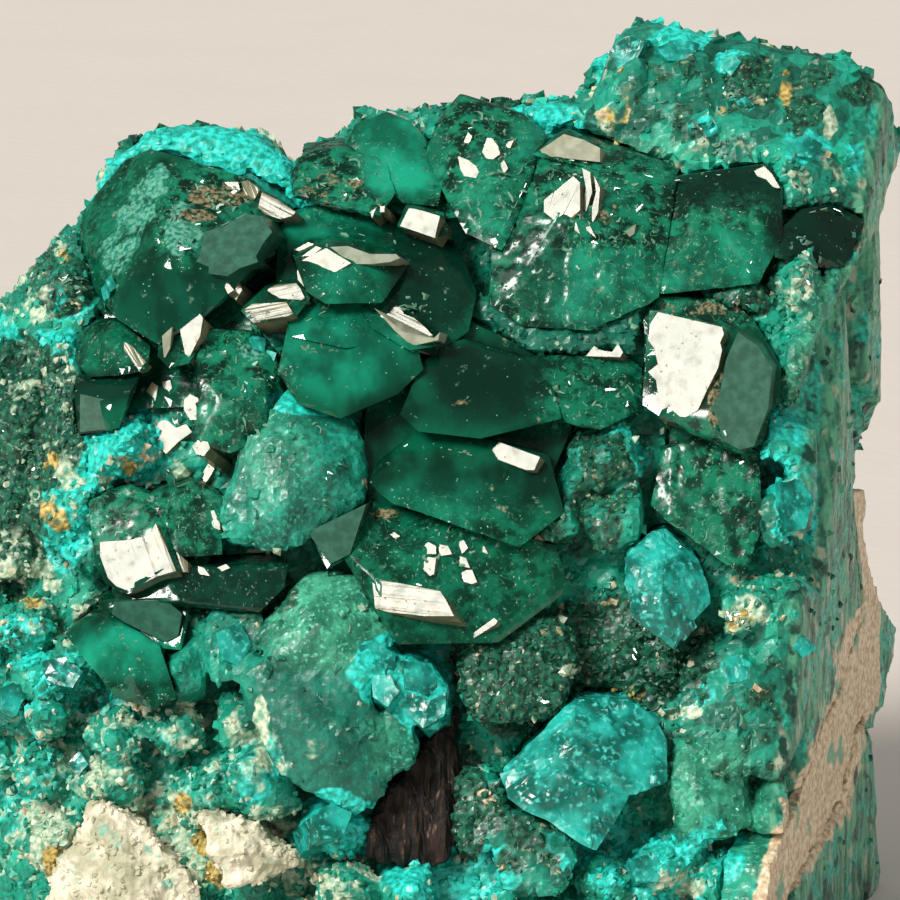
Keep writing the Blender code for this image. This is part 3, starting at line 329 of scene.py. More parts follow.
def write_zone(data, name, values):
    """Write a zone's strengths on the corners of a mesh."""
    layer = data.attributes.new(name, "FLOAT", "POINT")
    layer.data.foreach_set("value", np.asarray(values, dtype=np.float32))


def finished(name, mesh, material, slot, nodes=()):
    """Turn a mesh in mm into a piece in metres that rides on the body."""
    data = mesh
    if isinstance(mesh, bmesh.types.BMesh):
        data = bpy.data.meshes.new(name)
        mesh.to_mesh(data)
        mesh.free()
    data.transform(Matrix.Scale(0.001, 4))
    data.materials.clear()
    data.materials.append(material)
    item = bpy.data.objects.new(name, data)
    bpy.context.scene.collection.objects.link(item)
    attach(item, "root")
    if nodes:
        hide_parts(*nodes)
    return item


emerald = Finish("dark_dioptase", roughness=0.07, ior=1.66, transmission=0.4, specular=0.2)
veil = emerald.ramp(emerald.grain(2.2, 3.0, stretch=(1, 1, 1.8)), 0.38, 0.66)
fleck = emerald.ramp(emerald.grain(0.24, 2.0), 0.60, 0.72)
dust = emerald.math("MULTIPLY", emerald.ramp(emerald.cells(0.36, "Distance"), 0.15, 0.08),
                    emerald.ramp(emerald.grain(1.1, 2.0, shift=3.0), 0.53, 0.60))
swirl = emerald.math("MULTIPLY", emerald.grain(1.7, 2.0, shift=5.0), 9.0)
loops = emerald.math("MULTIPLY", emerald.ramp(emerald.math("PINGPONG", swirl, 0.5), 0.10, 0.03),
                     emerald.ramp(emerald.grain(0.5, 2.0, shift=8.0), 0.46, 0.60, 0.0, 0.5))
etch = emerald.zone("etched")
light = emerald.zone("light")
deep = emerald.zone("deep")
body_colour = emerald.mix(veil, (0.002, 0.045, 0.023), (0.005, 0.166, 0.087))
etched_colour = emerald.mix(emerald.ramp(emerald.grain(1.0, 3.0, rough=0.65), 0.42, 0.60),
                            (0.001, 0.036, 0.019), (0.007, 0.316, 0.172))
gem_colour = emerald.mix(etch, body_colour, etched_colour)
# Painted light: brighter emerald where light shines through the crystals and along their rims
gem_colour = emerald.mix(light, gem_colour,
                         emerald.mix(veil, (0.005, 0.181, 0.102), (0.013, 0.543, 0.332)))
etched_marks = emerald.math("MULTIPLY", emerald.math("MAXIMUM", fleck, loops), etch)
gem_colour = emerald.mix(etched_marks, gem_colour, (0.12, 0.499, 0.273))
gem_colour = emerald.mix(deep, gem_colour, (0.003, 0.03, 0.019))
gem_colour = emerald.mix(dust, gem_colour, (0.18, 0.633, 0.383))
fine_grain = emerald.ramp(emerald.grain(0.24, 2.0, shift=6.0), 0.36, 0.64)
ragged = emerald.math("MULTIPLY", emerald.grain(0.8, 3.0, shift=9.0, rough=0.7), 2.6)
crusted = emerald.ramp(emerald.math("ADD", ragged, emerald.zone("crust")), 1.62, 2.05)
gem_colour = emerald.mix(crusted, gem_colour,
                         emerald.mix(fine_grain, (0.018, 0.302, 0.204), (0.225, 0.694, 0.51)))
gilded = emerald.ramp(emerald.math("ADD", ragged, emerald.zone("golden")), 1.68, 1.95)
gem_colour = emerald.mix(gilded, gem_colour,
                         emerald.mix(fine_grain, (0.009, 0.06, 0.026), (0.46, 0.38, 0.22)))
striae = emerald.grain(0.22, 2.0, stretch=(1, 1, 14.0), turn=(0, 0.42, 0))
lined = emerald.math("MULTIPLY", emerald.ramp(striae, 0.5, 0.66), emerald.zone("striated"))
gem_colour = emerald.mix(emerald.math("MULTIPLY", lined, 0.5), gem_colour, (0.027, 0.302, 0.166))
emerald.set(base_color=gem_colour, roughness=emerald.ramp(etch, 0.0, 1.0, 0.06, 0.24),
            normal=emerald.bump(emerald.math("MULTIPLY", fleck, etch), 0.04))
emerald.absorb((0.02, 0.80, 0.58), 420.0)
solid_corners = []
solid_triangles = []


def keep_solid(mesh):
    """Keep a solid's triangles in mm, for the sight lines that place the growth steps."""
    offset = len(solid_corners)
    mesh.verts.index_update()
    solid_corners.extend([vert.co.copy() for vert in mesh.verts])
    solid_triangles.extend([[vert.index + offset for vert in face.verts] for face in mesh.faces])


ETCH_STEP = 0.06        # depth of the steps between etched fields
for node_name in CRYSTAL_NODES:
    gem = mm_copy(node_name)
    keep_solid(gem)
    bmesh.ops.dissolve_limit(gem, angle_limit=radians(0.8), verts=gem.verts, edges=gem.edges)
    bmesh.ops.triangulate(gem, faces=gem.faces)
    split_long_edges(gem, 0.34, ETCHED)
    split_long_edges(gem, 0.9)
    gem.normal_update()
    strengths = zone_strengths(np.array([vert.co for vert in gem.verts]), ETCHED)
    moves = []
    for vert, strength in zip(gem.verts, strengths):
        curl = noise.fractal(vert.co * 0.55, 0.8, 2.0, 2)
        nearest, second = noise.voronoi(vert.co * 0.6)[0][:2]
        step = ETCH_STEP * (second - nearest < 0.16)
        moves.append(vert.normal * ((0.025 * curl - step) * strength + CLOSER))
    for vert, move in zip(gem.verts, moves):
        vert.co += move
    piece = finished("dark_" + node_name, gem, emerald.made, "dark_dioptase", [node_name])
    write_zone(piece.data, "etched", strengths)
    spots = np.array([vert.co * 1000.0 for vert in piece.data.vertices])
    for zone_name, places in (("light", LIGHT), ("deep", DEEP), ("crust", CRUST),
                              ("golden", GOLDEN), ("striated", STRIATED)):
        write_zone(piece.data, zone_name, zone_strengths(spots, places))
    piece.data.shade_smooth()
    piece.data.set_sharp_from_angle(angle=radians(18))


# GROWTH STEPS
# The flat step faces on the crystals that face half-way between the light and the eye,
# so each shines like a mirror. Every one is a thin step rooted in the crystal behind it.
for node_name in ("massive_dioptase", "turquoise_crystal", "cleavage_piece"):
    rock = mm_copy(node_name)
    keep_solid(rock)
    rock.free()
solid_tree = BVHTree.FromPolygons(solid_corners, solid_triangles)
STEP_RISE = 0.10        # how far a step stands out of the crystal
# Every step's outline in front measures
STEPS = {
    "left shoulder": ((11.2, 35.9), (11.9, 35.9), (12.0, 35.5), (11.7, 35.4)),
    "left striped": ((12.1, 35.9), (12.4, 36.0), (13.0, 35.5), (12.7, 35.0), (12.2, 35.3)),
    "left big": ((13.1, 35.4), (13.9, 35.0), (14.8, 34.4), (14.6, 34.2), (14.0, 34.05),
                 (13.2, 34.3), (12.9, 34.6)),
    "stair top": ((13.4, 30.55), (13.8, 30.75), (14.8, 30.85), (15.0, 30.6), (15.25, 30.1),
                  (15.1, 30.0), (13.7, 30.1), (13.3, 30.3)),
    "stair low": ((12.2, 29.5), (12.6, 29.8), (14.3, 29.9), (14.65, 29.35), (14.4, 29.2),
                  (12.6, 28.9), (12.4, 29.3)),
    "stair chip": ((11.3, 31.0), (11.7, 30.5), (11.4, 30.3), (11.2, 30.7)),
    "stair chip two": ((11.9, 31.0), (12.1, 30.5), (11.8, 30.0), (11.6, 30.2)),
    "great": ((15.0, 31.9), (15.2, 32.05), (16.3, 32.6), (17.55, 31.85), (15.3, 30.55),
              (14.9, 31.0), (14.85, 31.4)),
    "great rim": ((14.7, 32.5), (15.4, 32.9), (15.7, 32.8), (15.2, 32.4)),
    "great rim two": ((15.1, 32.2), (15.8, 32.7), (16.1, 32.6), (15.3, 32.0)),
    "middle": ((19.2, 29.2), (19.5, 29.4), (19.75, 29.7), (20.0, 29.65), (20.2, 29.3),
               (20.7, 29.1), (21.2, 28.7), (21.65, 28.2), (21.0, 28.2), (20.3, 28.5),
               (19.8, 28.9)),
    "upper chip": ((23.1, 37.7), (23.4, 38.4), (23.6, 38.2), (23.5, 37.9)),
    "upper chip two": ((24.1, 37.4), (24.35, 38.1), (24.6, 38.1), (24.9, 37.7),
                       (25.0, 37.3), (24.6, 37.0), (24.3, 37.1)),
    "upper plate": ((22.9, 37.2), (23.4, 37.0), (23.8, 36.7), (23.95, 36.4), (23.8, 36.1),
                    (23.2, 36.2), (23.0, 36.6)),
    "upper bit": ((25.2, 37.6), (25.4, 37.9), (25.7, 38.0), (25.5, 37.6)),
    "upper bit two": ((25.0, 36.8), (25.2, 37.0), (25.4, 36.6), (25.2, 36.3)),
    "shelf white": ((27.2, 35.0), (27.7, 35.4), (28.3, 35.9), (28.65, 36.2), (29.0, 35.9),
                    (29.0, 34.5), (28.6, 34.1), (28.2, 34.3), (27.7, 34.0), (27.2, 34.4)),
    "shelf ribbon": ((29.1, 36.6), (29.5, 36.4), (29.6, 35.4), (29.3, 34.4), (29.1, 34.8),
                     (29.3, 35.6)),
    "shelf ribbon two": ((29.7, 36.2), (30.0, 35.6), (29.9, 34.4), (29.6, 33.8),
                         (29.6, 34.6), (29.8, 35.4)),
    "shelf blob": ((28.6, 33.6), (28.8, 33.9), (29.0, 33.3)),
    "shelf blob two": ((29.2, 33.6), (29.5, 33.7), (29.8, 33.1)),
    "corner white": ((37.7, 36.45), (38.2, 36.7), (38.6, 36.3), (39.0, 35.6), (38.8, 35.6),
                     (38.0, 36.0)),
    "square": ((32.9, 29.4), (36.1, 28.65), (36.2, 28.3), (36.0, 27.9), (36.1, 27.5),
               (35.9, 26.6), (35.2, 25.2), (34.9, 24.5), (34.3, 24.15), (33.5, 24.2),
               (32.7, 24.4), (32.35, 24.9), (32.9, 25.3), (32.8, 26.0), (32.4, 26.4),
               (32.9, 26.8), (32.7, 27.6), (32.4, 28.0), (32.5, 28.8)),
    "beyond": ((29.3, 27.2), (29.7, 27.7), (30.0, 27.5), (30.6, 27.4), (30.9, 27.8),
               (31.15, 27.4), (31.0, 27.15)),
    "olive slab": ((24.6, 22.5), (24.95, 22.9), (27.0, 22.15), (26.7, 21.5), (26.3, 21.5),
                   (24.7, 22.1)),
    "striated slab": ((18.6, 16.1), (22.0, 15.45), (22.3, 15.0), (22.7, 14.2), (21.2, 14.2),
                      (19.4, 14.4), (18.75, 14.6), (18.7, 15.2)),
    "low chip one": ((19.4, 18.2), (19.7, 18.4), (20.0, 18.2), (19.7, 18.0)),
    "low chip two": ((21.1, 17.6), (21.4, 17.9), (21.8, 17.7), (21.8, 17.3), (21.3, 17.3)),
    "low chip three": ((21.9, 17.8), (22.4, 17.7), (22.6, 17.3), (22.0, 17.2)),
    "low chip four": ((21.1, 16.8), (21.4, 17.15), (21.8, 17.1), (21.7, 16.3), (21.5, 16.2),
                      (21.2, 16.5)),
    "low chip five": ((22.9, 17.9), (23.2, 18.0), (23.4, 17.6), (23.1, 17.3)),
    "low chip six": ((22.95, 17.2), (23.3, 17.1), (23.5, 16.6), (23.0, 16.7)),
    "low chip seven": ((23.0, 16.3), (23.3, 16.5), (23.6, 16.5), (23.85, 15.9),
                       (23.6, 15.8), (23.2, 15.9)),
    "low chip eight": ((24.0, 17.6), (24.2, 17.7), (24.4, 17.3), (24.1, 17.4)),
    "low slab": ((23.6, 13.3), (24.7, 14.1), (24.9, 13.95), (24.8, 13.8), (23.7, 13.1)),
    "ribbed face": ((5.0, 17.9), (6.5, 18.0), (7.2, 18.2), (7.6, 18.5), (7.8, 18.85),
                    (8.2, 17.9), (8.5, 17.2), (8.8, 16.45), (7.9, 16.2), (6.9, 15.7),
                    (6.3, 15.5), (5.8, 15.7), (5.4, 16.1), (5.0, 17.2)),
    "ribbed tip": ((8.8, 17.4), (9.4, 16.9), (9.4, 16.4), (8.9, 16.4)),
    "small white": ((6.2, 27.9), (6.6, 27.7), (7.3, 26.9), (7.1, 26.7), (6.8, 26.6),
                    (6.5, 27.1), (6.2, 27.5)),
    "sliver": ((9.0, 28.5), (9.6, 29.0), (10.0, 29.3), (10.15, 29.1), (10.0, 28.2),
               (9.7, 27.6), (9.5, 27.2), (9.3, 27.1)),
    "pebble one": ((7.3, 25.4), (7.6, 25.9), (7.9, 25.7), (7.8, 25.1), (7.6, 24.6),
                   (7.3, 25.0)),
    "pebble two": ((8.1, 25.9), (8.5, 26.0), (8.6, 25.6), (8.3, 25.2)),
    "pebble three": ((9.2, 25.0), (9.5, 25.3), (9.9, 25.1), (10.0, 24.4), (9.8, 24.0),
                     (9.5, 24.0), (9.2, 24.5)),
    "pebble four": ((8.5, 24.4), (8.8, 24.6), (9.1, 24.3), (9.1, 23.9), (8.7, 23.8)),
    "heart": ((7.8, 23.8), (8.1, 24.0), (8.4, 23.95), (8.8, 23.6), (9.3, 23.8), (9.6, 23.4),
              (8.9, 22.9), (8.3, 22.3), (8.0, 22.6), (7.8, 23.1)),
    "pebble five": ((9.6, 22.7), (9.9, 23.0), (10.4, 22.9), (10.5, 22.6), (10.2, 22.2),
                    (9.8, 22.3)),
    "pebble six": ((10.5, 22.3), (10.8, 22.2), (10.8, 21.7), (10.4, 21.0), (10.2, 20.8),
                   (10.1, 21.3), (10.4, 21.8)),
    "pebble seven": ((10.4, 19.4), (10.7, 19.5), (11.0, 18.8), (11.0, 18.5), (10.7, 18.6),
                     (10.5, 19.0)),
    "pebble eight": ((9.9, 16.7), (10.2, 16.6), (10.5, 16.2), (9.9, 16.3)),
    "pebble nine": ((10.8, 16.6), (11.3, 16.8), (11.5, 16.6), (11.0, 16.4)),
    "tile": ((20.2, 34.1), (20.45, 34.6), (21.0, 34.5), (22.0, 34.2), (21.8, 33.4),
             (21.75, 33.1), (20.0, 33.7)),
    "tile bit": ((18.5, 34.4), (18.8, 34.6), (18.6, 34.1)),
    "tile bit two": ((19.0, 34.7), (19.25, 34.7), (19.2, 34.4), (19.0, 34.4)),
}


def sight(x, up):
    """The direction of the sight line through a place in front measures."""
    return (AHEAD * VIEW_DISTANCE + Vector((x - FRONT_MIDDLE, 0, 0))
            + ABOVE * (up - FRONT_MIDDLE)).normalized()


def flat_step(mesh, outline, way, rise=STEP_RISE, roots=0.5, spread=9.0):
    """Add a flat step of an outline read from the front, its face turned towards way.

    It is left out where the ground under it changes height by more than spread.
    """
    lines = [sight(x, up) for x, up in outline]
    middle = sum(lines, Vector()).normalized()
    hits = [solid_tree.ray_cast(EYE, line)[0] for line in lines + [middle]]
    hits = [hit for hit in hits if hit is not None]
    if not hits:
        return None
    heights = [way.dot(hit) for hit in hits]
    if max(heights) - min(heights) > spread:
        return None
    level = max(heights) + rise
    depth = level - min(heights) + roots
    front = [EYE + line * ((level - way.dot(EYE)) / way.dot(line)) for line in lines]
    centre = sum(front, Vector()) / len(front)
    back = [centre + (point - centre) * 1.05 - way * depth for point in front]
    top = [mesh.verts.new(point) for point in front]
    bottom = [mesh.verts.new(point) for point in back]
    count = len(top)
    made = [mesh.faces.new(top), mesh.faces.new(list(reversed(bottom)))]
    for index in range(count):
        after = (index + 1) % count
        made.append(mesh.faces.new((top[after], top[index], bottom[index], bottom[after])))
    return made


# Steps that are ribbed: how many ribs, their height in mm, and the heading of the ribs
RIBBED = {"ribbed face": (11, 0.007, (0.45, -1.0)), "striated slab": (8, 0.008, (1.0, -0.2)),
          "left striped": (5, 0.03, (0.5, -1.0)), "stair low": (5, 0.010, (1.0, 0.1)),
          "stair top": (4, 0.010, (1.0, 0.1)), "small white": (4, 0.012, (0.7, -1.0)),
          "shelf white": (4, 0.010, (0.4, 1.0)), "ribbed tip": (4, 0.02, (0.45, -1.0)),
          "left big": (5, 0.010, (1.0, -0.6)), "middle": (4, 0.008, (1.0, -0.6))}


def rib_face(mesh, face, way, count, height, heading):
    """Fold the flat face of a step into low straight ribs."""
    along = Vector((heading[0], 0, heading[1]))
    across = way.cross(along).normalized()
    reach = [across.dot(vert.co) for vert in face.verts]
    geometry = [face] + list(face.verts) + list(face.edges)
    ridge = False
    for index in range(1, 2 * count):
        share = (index + random.uniform(-0.2, 0.2)) / (2 * count)
        place = min(reach) + (max(reach) - min(reach)) * share
        cut = bmesh.ops.bisect_plane(mesh, geom=geometry, plane_co=across * place, plane_no=across)
        geometry = list(dict.fromkeys(cut["geom"]))
        ridge = not ridge
        for part in cut["geom_cut"]:
            if ridge and isinstance(part, bmesh.types.BMVert):
                part.co += way * height * random.uniform(0.5, 1.4)


def turned_out(mesh):
    """Triangulate closed steps and turn all of their faces outwards."""
    bmesh.ops.triangulate(mesh, faces=mesh.faces)
    bmesh.ops.recalc_face_normals(mesh, faces=mesh.faces)
    return mesh


bright = Finish("bright_dioptase", roughness=0.12, ior=1.66, specular=0.17)
pitted = bright.ramp(bright.grain(0.22, 3.0), 0.68, 0.76)
bright.set(
    base_color=bright.mix(bright.ramp(bright.grain(1.1, 3.0), 0.4, 0.7),
                          (0.12, 0.14, 0.08), (0.26, 0.24, 0.15)),
    roughness=bright.ramp(bright.grain(0.5, 3.0), 0.4, 0.75, 0.10, 0.26),
    normal=bright.bump(pitted, 0.012, bright.bump(bright.grain(0.6, 3.0, shift=2.0), 0.005)))
step_mesh = bmesh.new()
for step_name, outline in STEPS.items():
    tilt = Vector((random.uniform(-1, 1), 0, random.uniform(-1, 1))) * 0.03
    way = (MIRROR_WAY + tilt).normalized()
    made = flat_step(step_mesh, outline, way)
    if step_name in RIBBED and made:
        rib_face(step_mesh, made[0], way, *RIBBED[step_name])
finished("growth_steps", turned_out(step_mesh), bright.made, "dark_dioptase")

# Duller flat faces, whose grey-beige colour is painted sheen for the sky they partly reflect: how much
# of that painted sheen each gets, how far they turn off the light, their outlines
DULL = (
    (0.9, 0.20, (27.0, 37.5), (27.6, 37.9), (28.2, 38.3), (29.2, 38.0), (30.0, 37.6),
     (30.0, 36.9), (28.2, 37.1), (27.2, 37.2)),
    (0.6, 0.16, (16.5, 32.65), (17.4, 32.7), (18.5, 32.3), (19.8, 32.3), (20.0, 32.1),
     (19.5, 31.9), (18.6, 31.8), (17.6, 31.8)),
    (0.0, 0.2, (10.2, 33.4), (11.2, 33.7), (12.3, 34.3), (13.1, 34.2), (13.6, 33.4),
     (13.2, 32.9), (12.8, 32.2), (12.9, 31.9), (12.0, 31.6), (11.4, 31.2), (10.5, 31.3),
     (9.7, 31.7), (10.0, 32.3)),
    (0.05, 0.3, (36.9, 28.4), (37.9, 27.7), (38.6, 26.6), (38.4, 24.6), (37.7, 22.7),
     (37.0, 22.5), (36.1, 23.0), (35.3, 24.1), (36.0, 25.4), (36.3, 27.0)),
    (0.5, 0.2, (31.2, 33.4), (31.8, 33.8), (31.7, 33.3), (31.4, 33.1)),
    (0.10, 0.25, (4.0, 25.3), (5.8, 24.9), (5.9, 23.6), (4.0, 23.4)),
    (0.03, 0.3, (15.4, 18.4), (18.3, 19.8), (17.5, 17.3), (16.5, 16.8)),
    (0.75, 0.22, (18.7, 29.6), (19.0, 29.3), (19.7, 28.5), (20.6, 27.7), (21.9, 28.0),
     (22.0, 28.4), (21.7, 28.1), (20.4, 28.2)),
    (0.7, 0.24, (8.1, 28.2), (8.6, 28.65), (8.5, 27.6), (8.2, 27.0)),
    (-0.5, 0.4, (5.7, 14.9), (8.3, 15.0), (9.1, 14.3), (8.9, 13.2), (8.3, 12.9), (7.2, 13.4),
     (6.2, 13.9), (5.6, 14.3)))
dull = Finish("dull_dioptase", roughness=0.3, ior=1.66, specular=0.15)
painted_sheen = dull.zone("painted_sheen")
# Own dark green, turned by the share towards a grey-beige painted sheen that stands in for the reflected
# sky
green_to_sheen_tone = dull.mix(painted_sheen, (0.016, 0.086, 0.057), (0.34, 0.35, 0.25))
dull.set(base_color=dull.mix(dull.ramp(dull.grain(0.5, 4.0), 0.35, 0.7), green_to_sheen_tone,
                             dull.mix(painted_sheen, (0.03, 0.138, 0.093), (0.46, 0.47, 0.36))),
         normal=dull.bump(dull.grain(0.35, 4.0), 0.02))
dull_mesh = bmesh.new()
painted_sheen_shares = []
for share, off, *outline in DULL:
    way = (MIRROR_WAY + Vector((0.6 * off, 0.0, -off))).normalized()
    flat_step(dull_mesh, outline, way, 0.04, 0.3)
    painted_sheen_shares += [share] * (len(dull_mesh.verts) - len(painted_sheen_shares))
dull_piece = finished("dull_faces", turned_out(dull_mesh), dull.made, "dark_dioptase")
write_zone(dull_piece.data, "painted_sheen", painted_sheen_shares)

# Worn edges that catch the light, as runs of (x, up), each with its width in mm
EDGES = (
    (0.13, (16.3, 34.65), (18.4, 34.1), (20.3, 33.55), (22.3, 32.85)),
    (0.08, (16.3, 33.8), (17.3, 33.5), (18.3, 33.2)),
    (0.10, (28.1, 37.1), (30.0, 36.75), (32.0, 36.3), (33.5, 35.95)),
    (0.12, (22.3, 32.85), (23.0, 32.2), (23.4, 31.2), (23.7, 30.4)),
    (0.10, (15.7, 32.9), (17.0, 33.15), (18.5, 32.75), (19.9, 32.2)),
    (0.08, (21.4, 27.0), (20.4, 25.8), (19.0, 24.3)),
    (0.07, (21.0, 25.8), (20.4, 25.0), (20.0, 24.2)),
    (0.07, (21.4, 22.7), (22.6, 22.5), (23.7, 22.2)),
    (0.09, (26.1, 27.05), (28.4, 27.15), (31.2, 27.1)),
    (0.08, (33.5, 35.95), (35.4, 36.2), (37.6, 36.45)),
    (0.10, (8.9, 34.75), (9.4, 34.4), (9.8, 34.1), (10.3, 34.1), (10.9, 33.8)),
    (0.08, (14.5, 28.5), (16.9, 29.8), (18.3, 28.1), (20.8, 27.4)),
    (0.08, (36.5, 28.5), (37.6, 27.8), (38.3, 26.6)),
    (0.09, (19.5, 22.2), (20.4, 22.8), (21.6, 22.7)),
    (0.08, (2.2, 12.8), (3.6, 14.2), (4.9, 15.4)),
    (0.07, (10.2, 33.3), (12.3, 34.3), (13.4, 33.6)),
    (0.07, (24.6, 32.8), (25.6, 34.4), (26.4, 36.0)),
    (0.08, (40.2, 34.3), (41.5, 34.65), (43.0, 34.0)))
# Places strewn with small curled etch flakes: x, up, half width, half height, how many
CURLED = (
    (16.8, 36.0, 2.4, 1.5, 70), (10.4, 35.0, 1.8, 0.9, 50), (24.2, 36.4, 2.0, 2.8, 110),
    (29.2, 33.4, 3.6, 3.0, 150), (35.6, 32.8, 2.6, 1.8, 50), (22.4, 17.0, 3.0, 1.6, 40),
    (18.0, 32.9, 2.0, 0.4, 22), (35.4, 29.5, 2.6, 0.5, 30), (29.4, 25.4, 2.2, 1.4, 50),
    (35.4, 19.8, 2.4, 3.0, 70), (11.8, 25.2, 1.8, 2.8, 60), (37.3, 14.6, 1.1, 1.2, 60),
    (1.6, 24.0, 1.8, 2.8, 90), (4.0, 31.4, 1.2, 1.4, 30), (35.6, 24.4, 0.5, 1.6, 24),
    (8.8, 33.4, 1.0, 1.2, 30), (36.0, 38.6, 5.6, 2.4, 110), (30.6, 12.4, 3.0, 1.6, 50),
    (6.2, 19.2, 1.8, 1.2, 40), (9.6, 18.6, 1.2, 1.8, 26), (36.8, 9.4, 2.4, 3.0, 50),
    (25.6, 11.2, 1.8, 2.2, 34), (5.6, 14.0, 1.8, 1.0, 30), (40.2, 31.4, 0.9, 1.8, 34),
    (15.0, 21.6, 2.6, 3.0, 30), (16.2, 10.6, 2.6, 4.4, 36), (20.2, 29.4, 1.8, 0.8, 24))


def ribbon(points, width):
    """Outline, in front measures, of a narrow band along a run of points."""
    left, right = [], []
    for index, point in enumerate(points):
        before = points[max(index - 1, 0)]
        after = points[min(index + 1, len(points) - 1)]
        run = Vector((after[0] - before[0], after[1] - before[1])).normalized()
        half = 0.5 * width * (0.5 if index in (0, len(points) - 1) else 1.0)
        left.append((point[0] - run.y * half, point[1] + run.x * half))
        right.append((point[0] + run.y * half, point[1] - run.x * half))
    return left + right[::-1]


flake = Finish("etch_flakes", roughness=0.16, ior=1.66)
flake.set(base_color=flake.mix(flake.grain(1.2, 3.0), (0.01, 0.16, 0.11), (0.22, 0.40, 0.27)))
flake_mesh = bmesh.new()
EDGE_PART = 0.7         # about how long one straight piece of a worn edge is
for width, *run in EDGES:
    for start, end in zip(run, run[1:]):
        parts = max(1, round(hypot(end[0] - start[0], end[1] - start[1]) / EDGE_PART))
        for part in range(parts):
            shares = ((part + random.uniform(0, 0.2)) / parts, (part + random.uniform(0.7, 1.0)) / parts)
            ends = [(start[0] + (end[0] - start[0]) * share, start[1] + (end[1] - start[1]) * share)
                    for share in shares]
            tilt = Vector((random.uniform(-1, 1), 0, random.uniform(-1, 1))) * 0.16
            flat_step(flake_mesh, ribbon(ends, width), (MIRROR_WAY + tilt).normalized(),
                      0.05, 0.2, 0.8)
for middle_x, middle_up, wide, tall, count in CURLED:
    for _ in range(count):
        turn, reach = random.uniform(0, 2 * pi), sqrt(random.random())
        x, up = middle_x + wide * reach * cos(turn), middle_up + tall * reach * sin(turn)
        heading, bend = random.uniform(0, 2 * pi), random.uniform(-1.4, 1.4)
        length = random.uniform(0.10, 0.26)
        run = [(x, up)]
        for _ in range(random.choice((1, 2, 2, 3))):
            x, up = x + length * cos(heading), up + length * sin(heading)
            heading += bend
            run.append((x, up))
        tilt = Vector((random.gauss(0, 1), random.gauss(0, 0.4), random.gauss(0, 1))) * 0.22
        flat_step(flake_mesh, ribbon(run, random.uniform(0.06, 0.16)),
                  (MIRROR_WAY + tilt).normalized(), 0.03, 0.15, 0.5)
finished("etch_flakes", turned_out(flake_mesh), flake.made, "dark_dioptase")


# BROKEN MASS
# The body of granular and frosted dioptase, teal to turquoise, with cream calcite in its
# seams. It is broken all round, and sheared off flat along the right side.
SHEAR_NORMAL = Vector((0.962, -0.272, 0.0)).normalized()
SHEAR_POINT = Vector((20.0, -4.0, 0.0))
SHEAR_MARGIN = 0.55     # how far inside the sheared plane its finish begins
SPLIT_DEPTH = 3.0       # the front and back halves meet at this depth
BEHIND = 9.5            # what lies deeper than this is never seen from the front
# Places in front measures: x, up, half width, half height, strength
PALE = (
    (10.0, 36.6, 5.6, 2.4, 1.0), (3.0, 27.5, 1.0, 0.8, 1.0), (0.2, 27.6, 0.8, 1.2, 1.0),
    (5.5, 22.6, 2.6, 2.2, 0.8), (3.0, 18.8, 1.8, 2.0, 0.6), (15.5, 25.0, 2.2, 0.7, 0.9),
    (19.0, 11.4, 1.2, 1.5, 0.7), (21.2, 10.3, 1.2, 1.8, 0.8), (34.0, 42.9, 1.3, 0.5, 0.9),
    (36.6, 41.8, 0.8, 0.6, 0.7), (37.2, 39.8, 0.6, 0.4, 0.8), (35.4, 38.6, 0.6, 0.4, 0.8),
    (40.2, 37.6, 1.1, 0.7, 0.6), (43.0, 37.0, 0.8, 0.8, 0.5), (39.9, 19.5, 1.1, 1.7, 0.6),
    (39.5, 22.6, 1.6, 1.8, 0.5), (36.8, 11.6, 0.8, 0.8, 0.4), (40.0, 12.6, 0.9, 0.8, 0.4),
    (32.8, 1.2, 2.6, 1.6, 0.6), (16.8, 3.6, 1.7, 1.6, 0.8), (3.5, 10.6, 3.0, 1.6, 0.42),
    (6.0, 6.0, 5.0, 2.4, 0.36), (1.0, 6.5, 1.8, 3.0, 0.44), (12.8, 6.4, 1.4, 2.0, 0.42),
    (22.5, 1.6, 3.0, 1.6, 0.8), (41.8, 26.0, 1.2, 3.0, 0.6), (42.0, 16.0, 1.2, 3.0, 0.5),
    (3.4, 29.9, 1.0, 0.8, 0.6), (26.5, 38.9, 2.4, 0.7, 0.8), (30.4, 22.2, 1.8, 1.2, 0.5),
    (29.5, 3.2, 2.6, 1.6, 0.52), (35.6, 2.2, 1.6, 1.6, 0.45), (34.4, 10.2, 1.3, 0.9, 0.45),
    (1.2, 12.8, 1.6, 1.2, 0.5), (5.4, 24.6, 1.0, 0.8, 0.5))
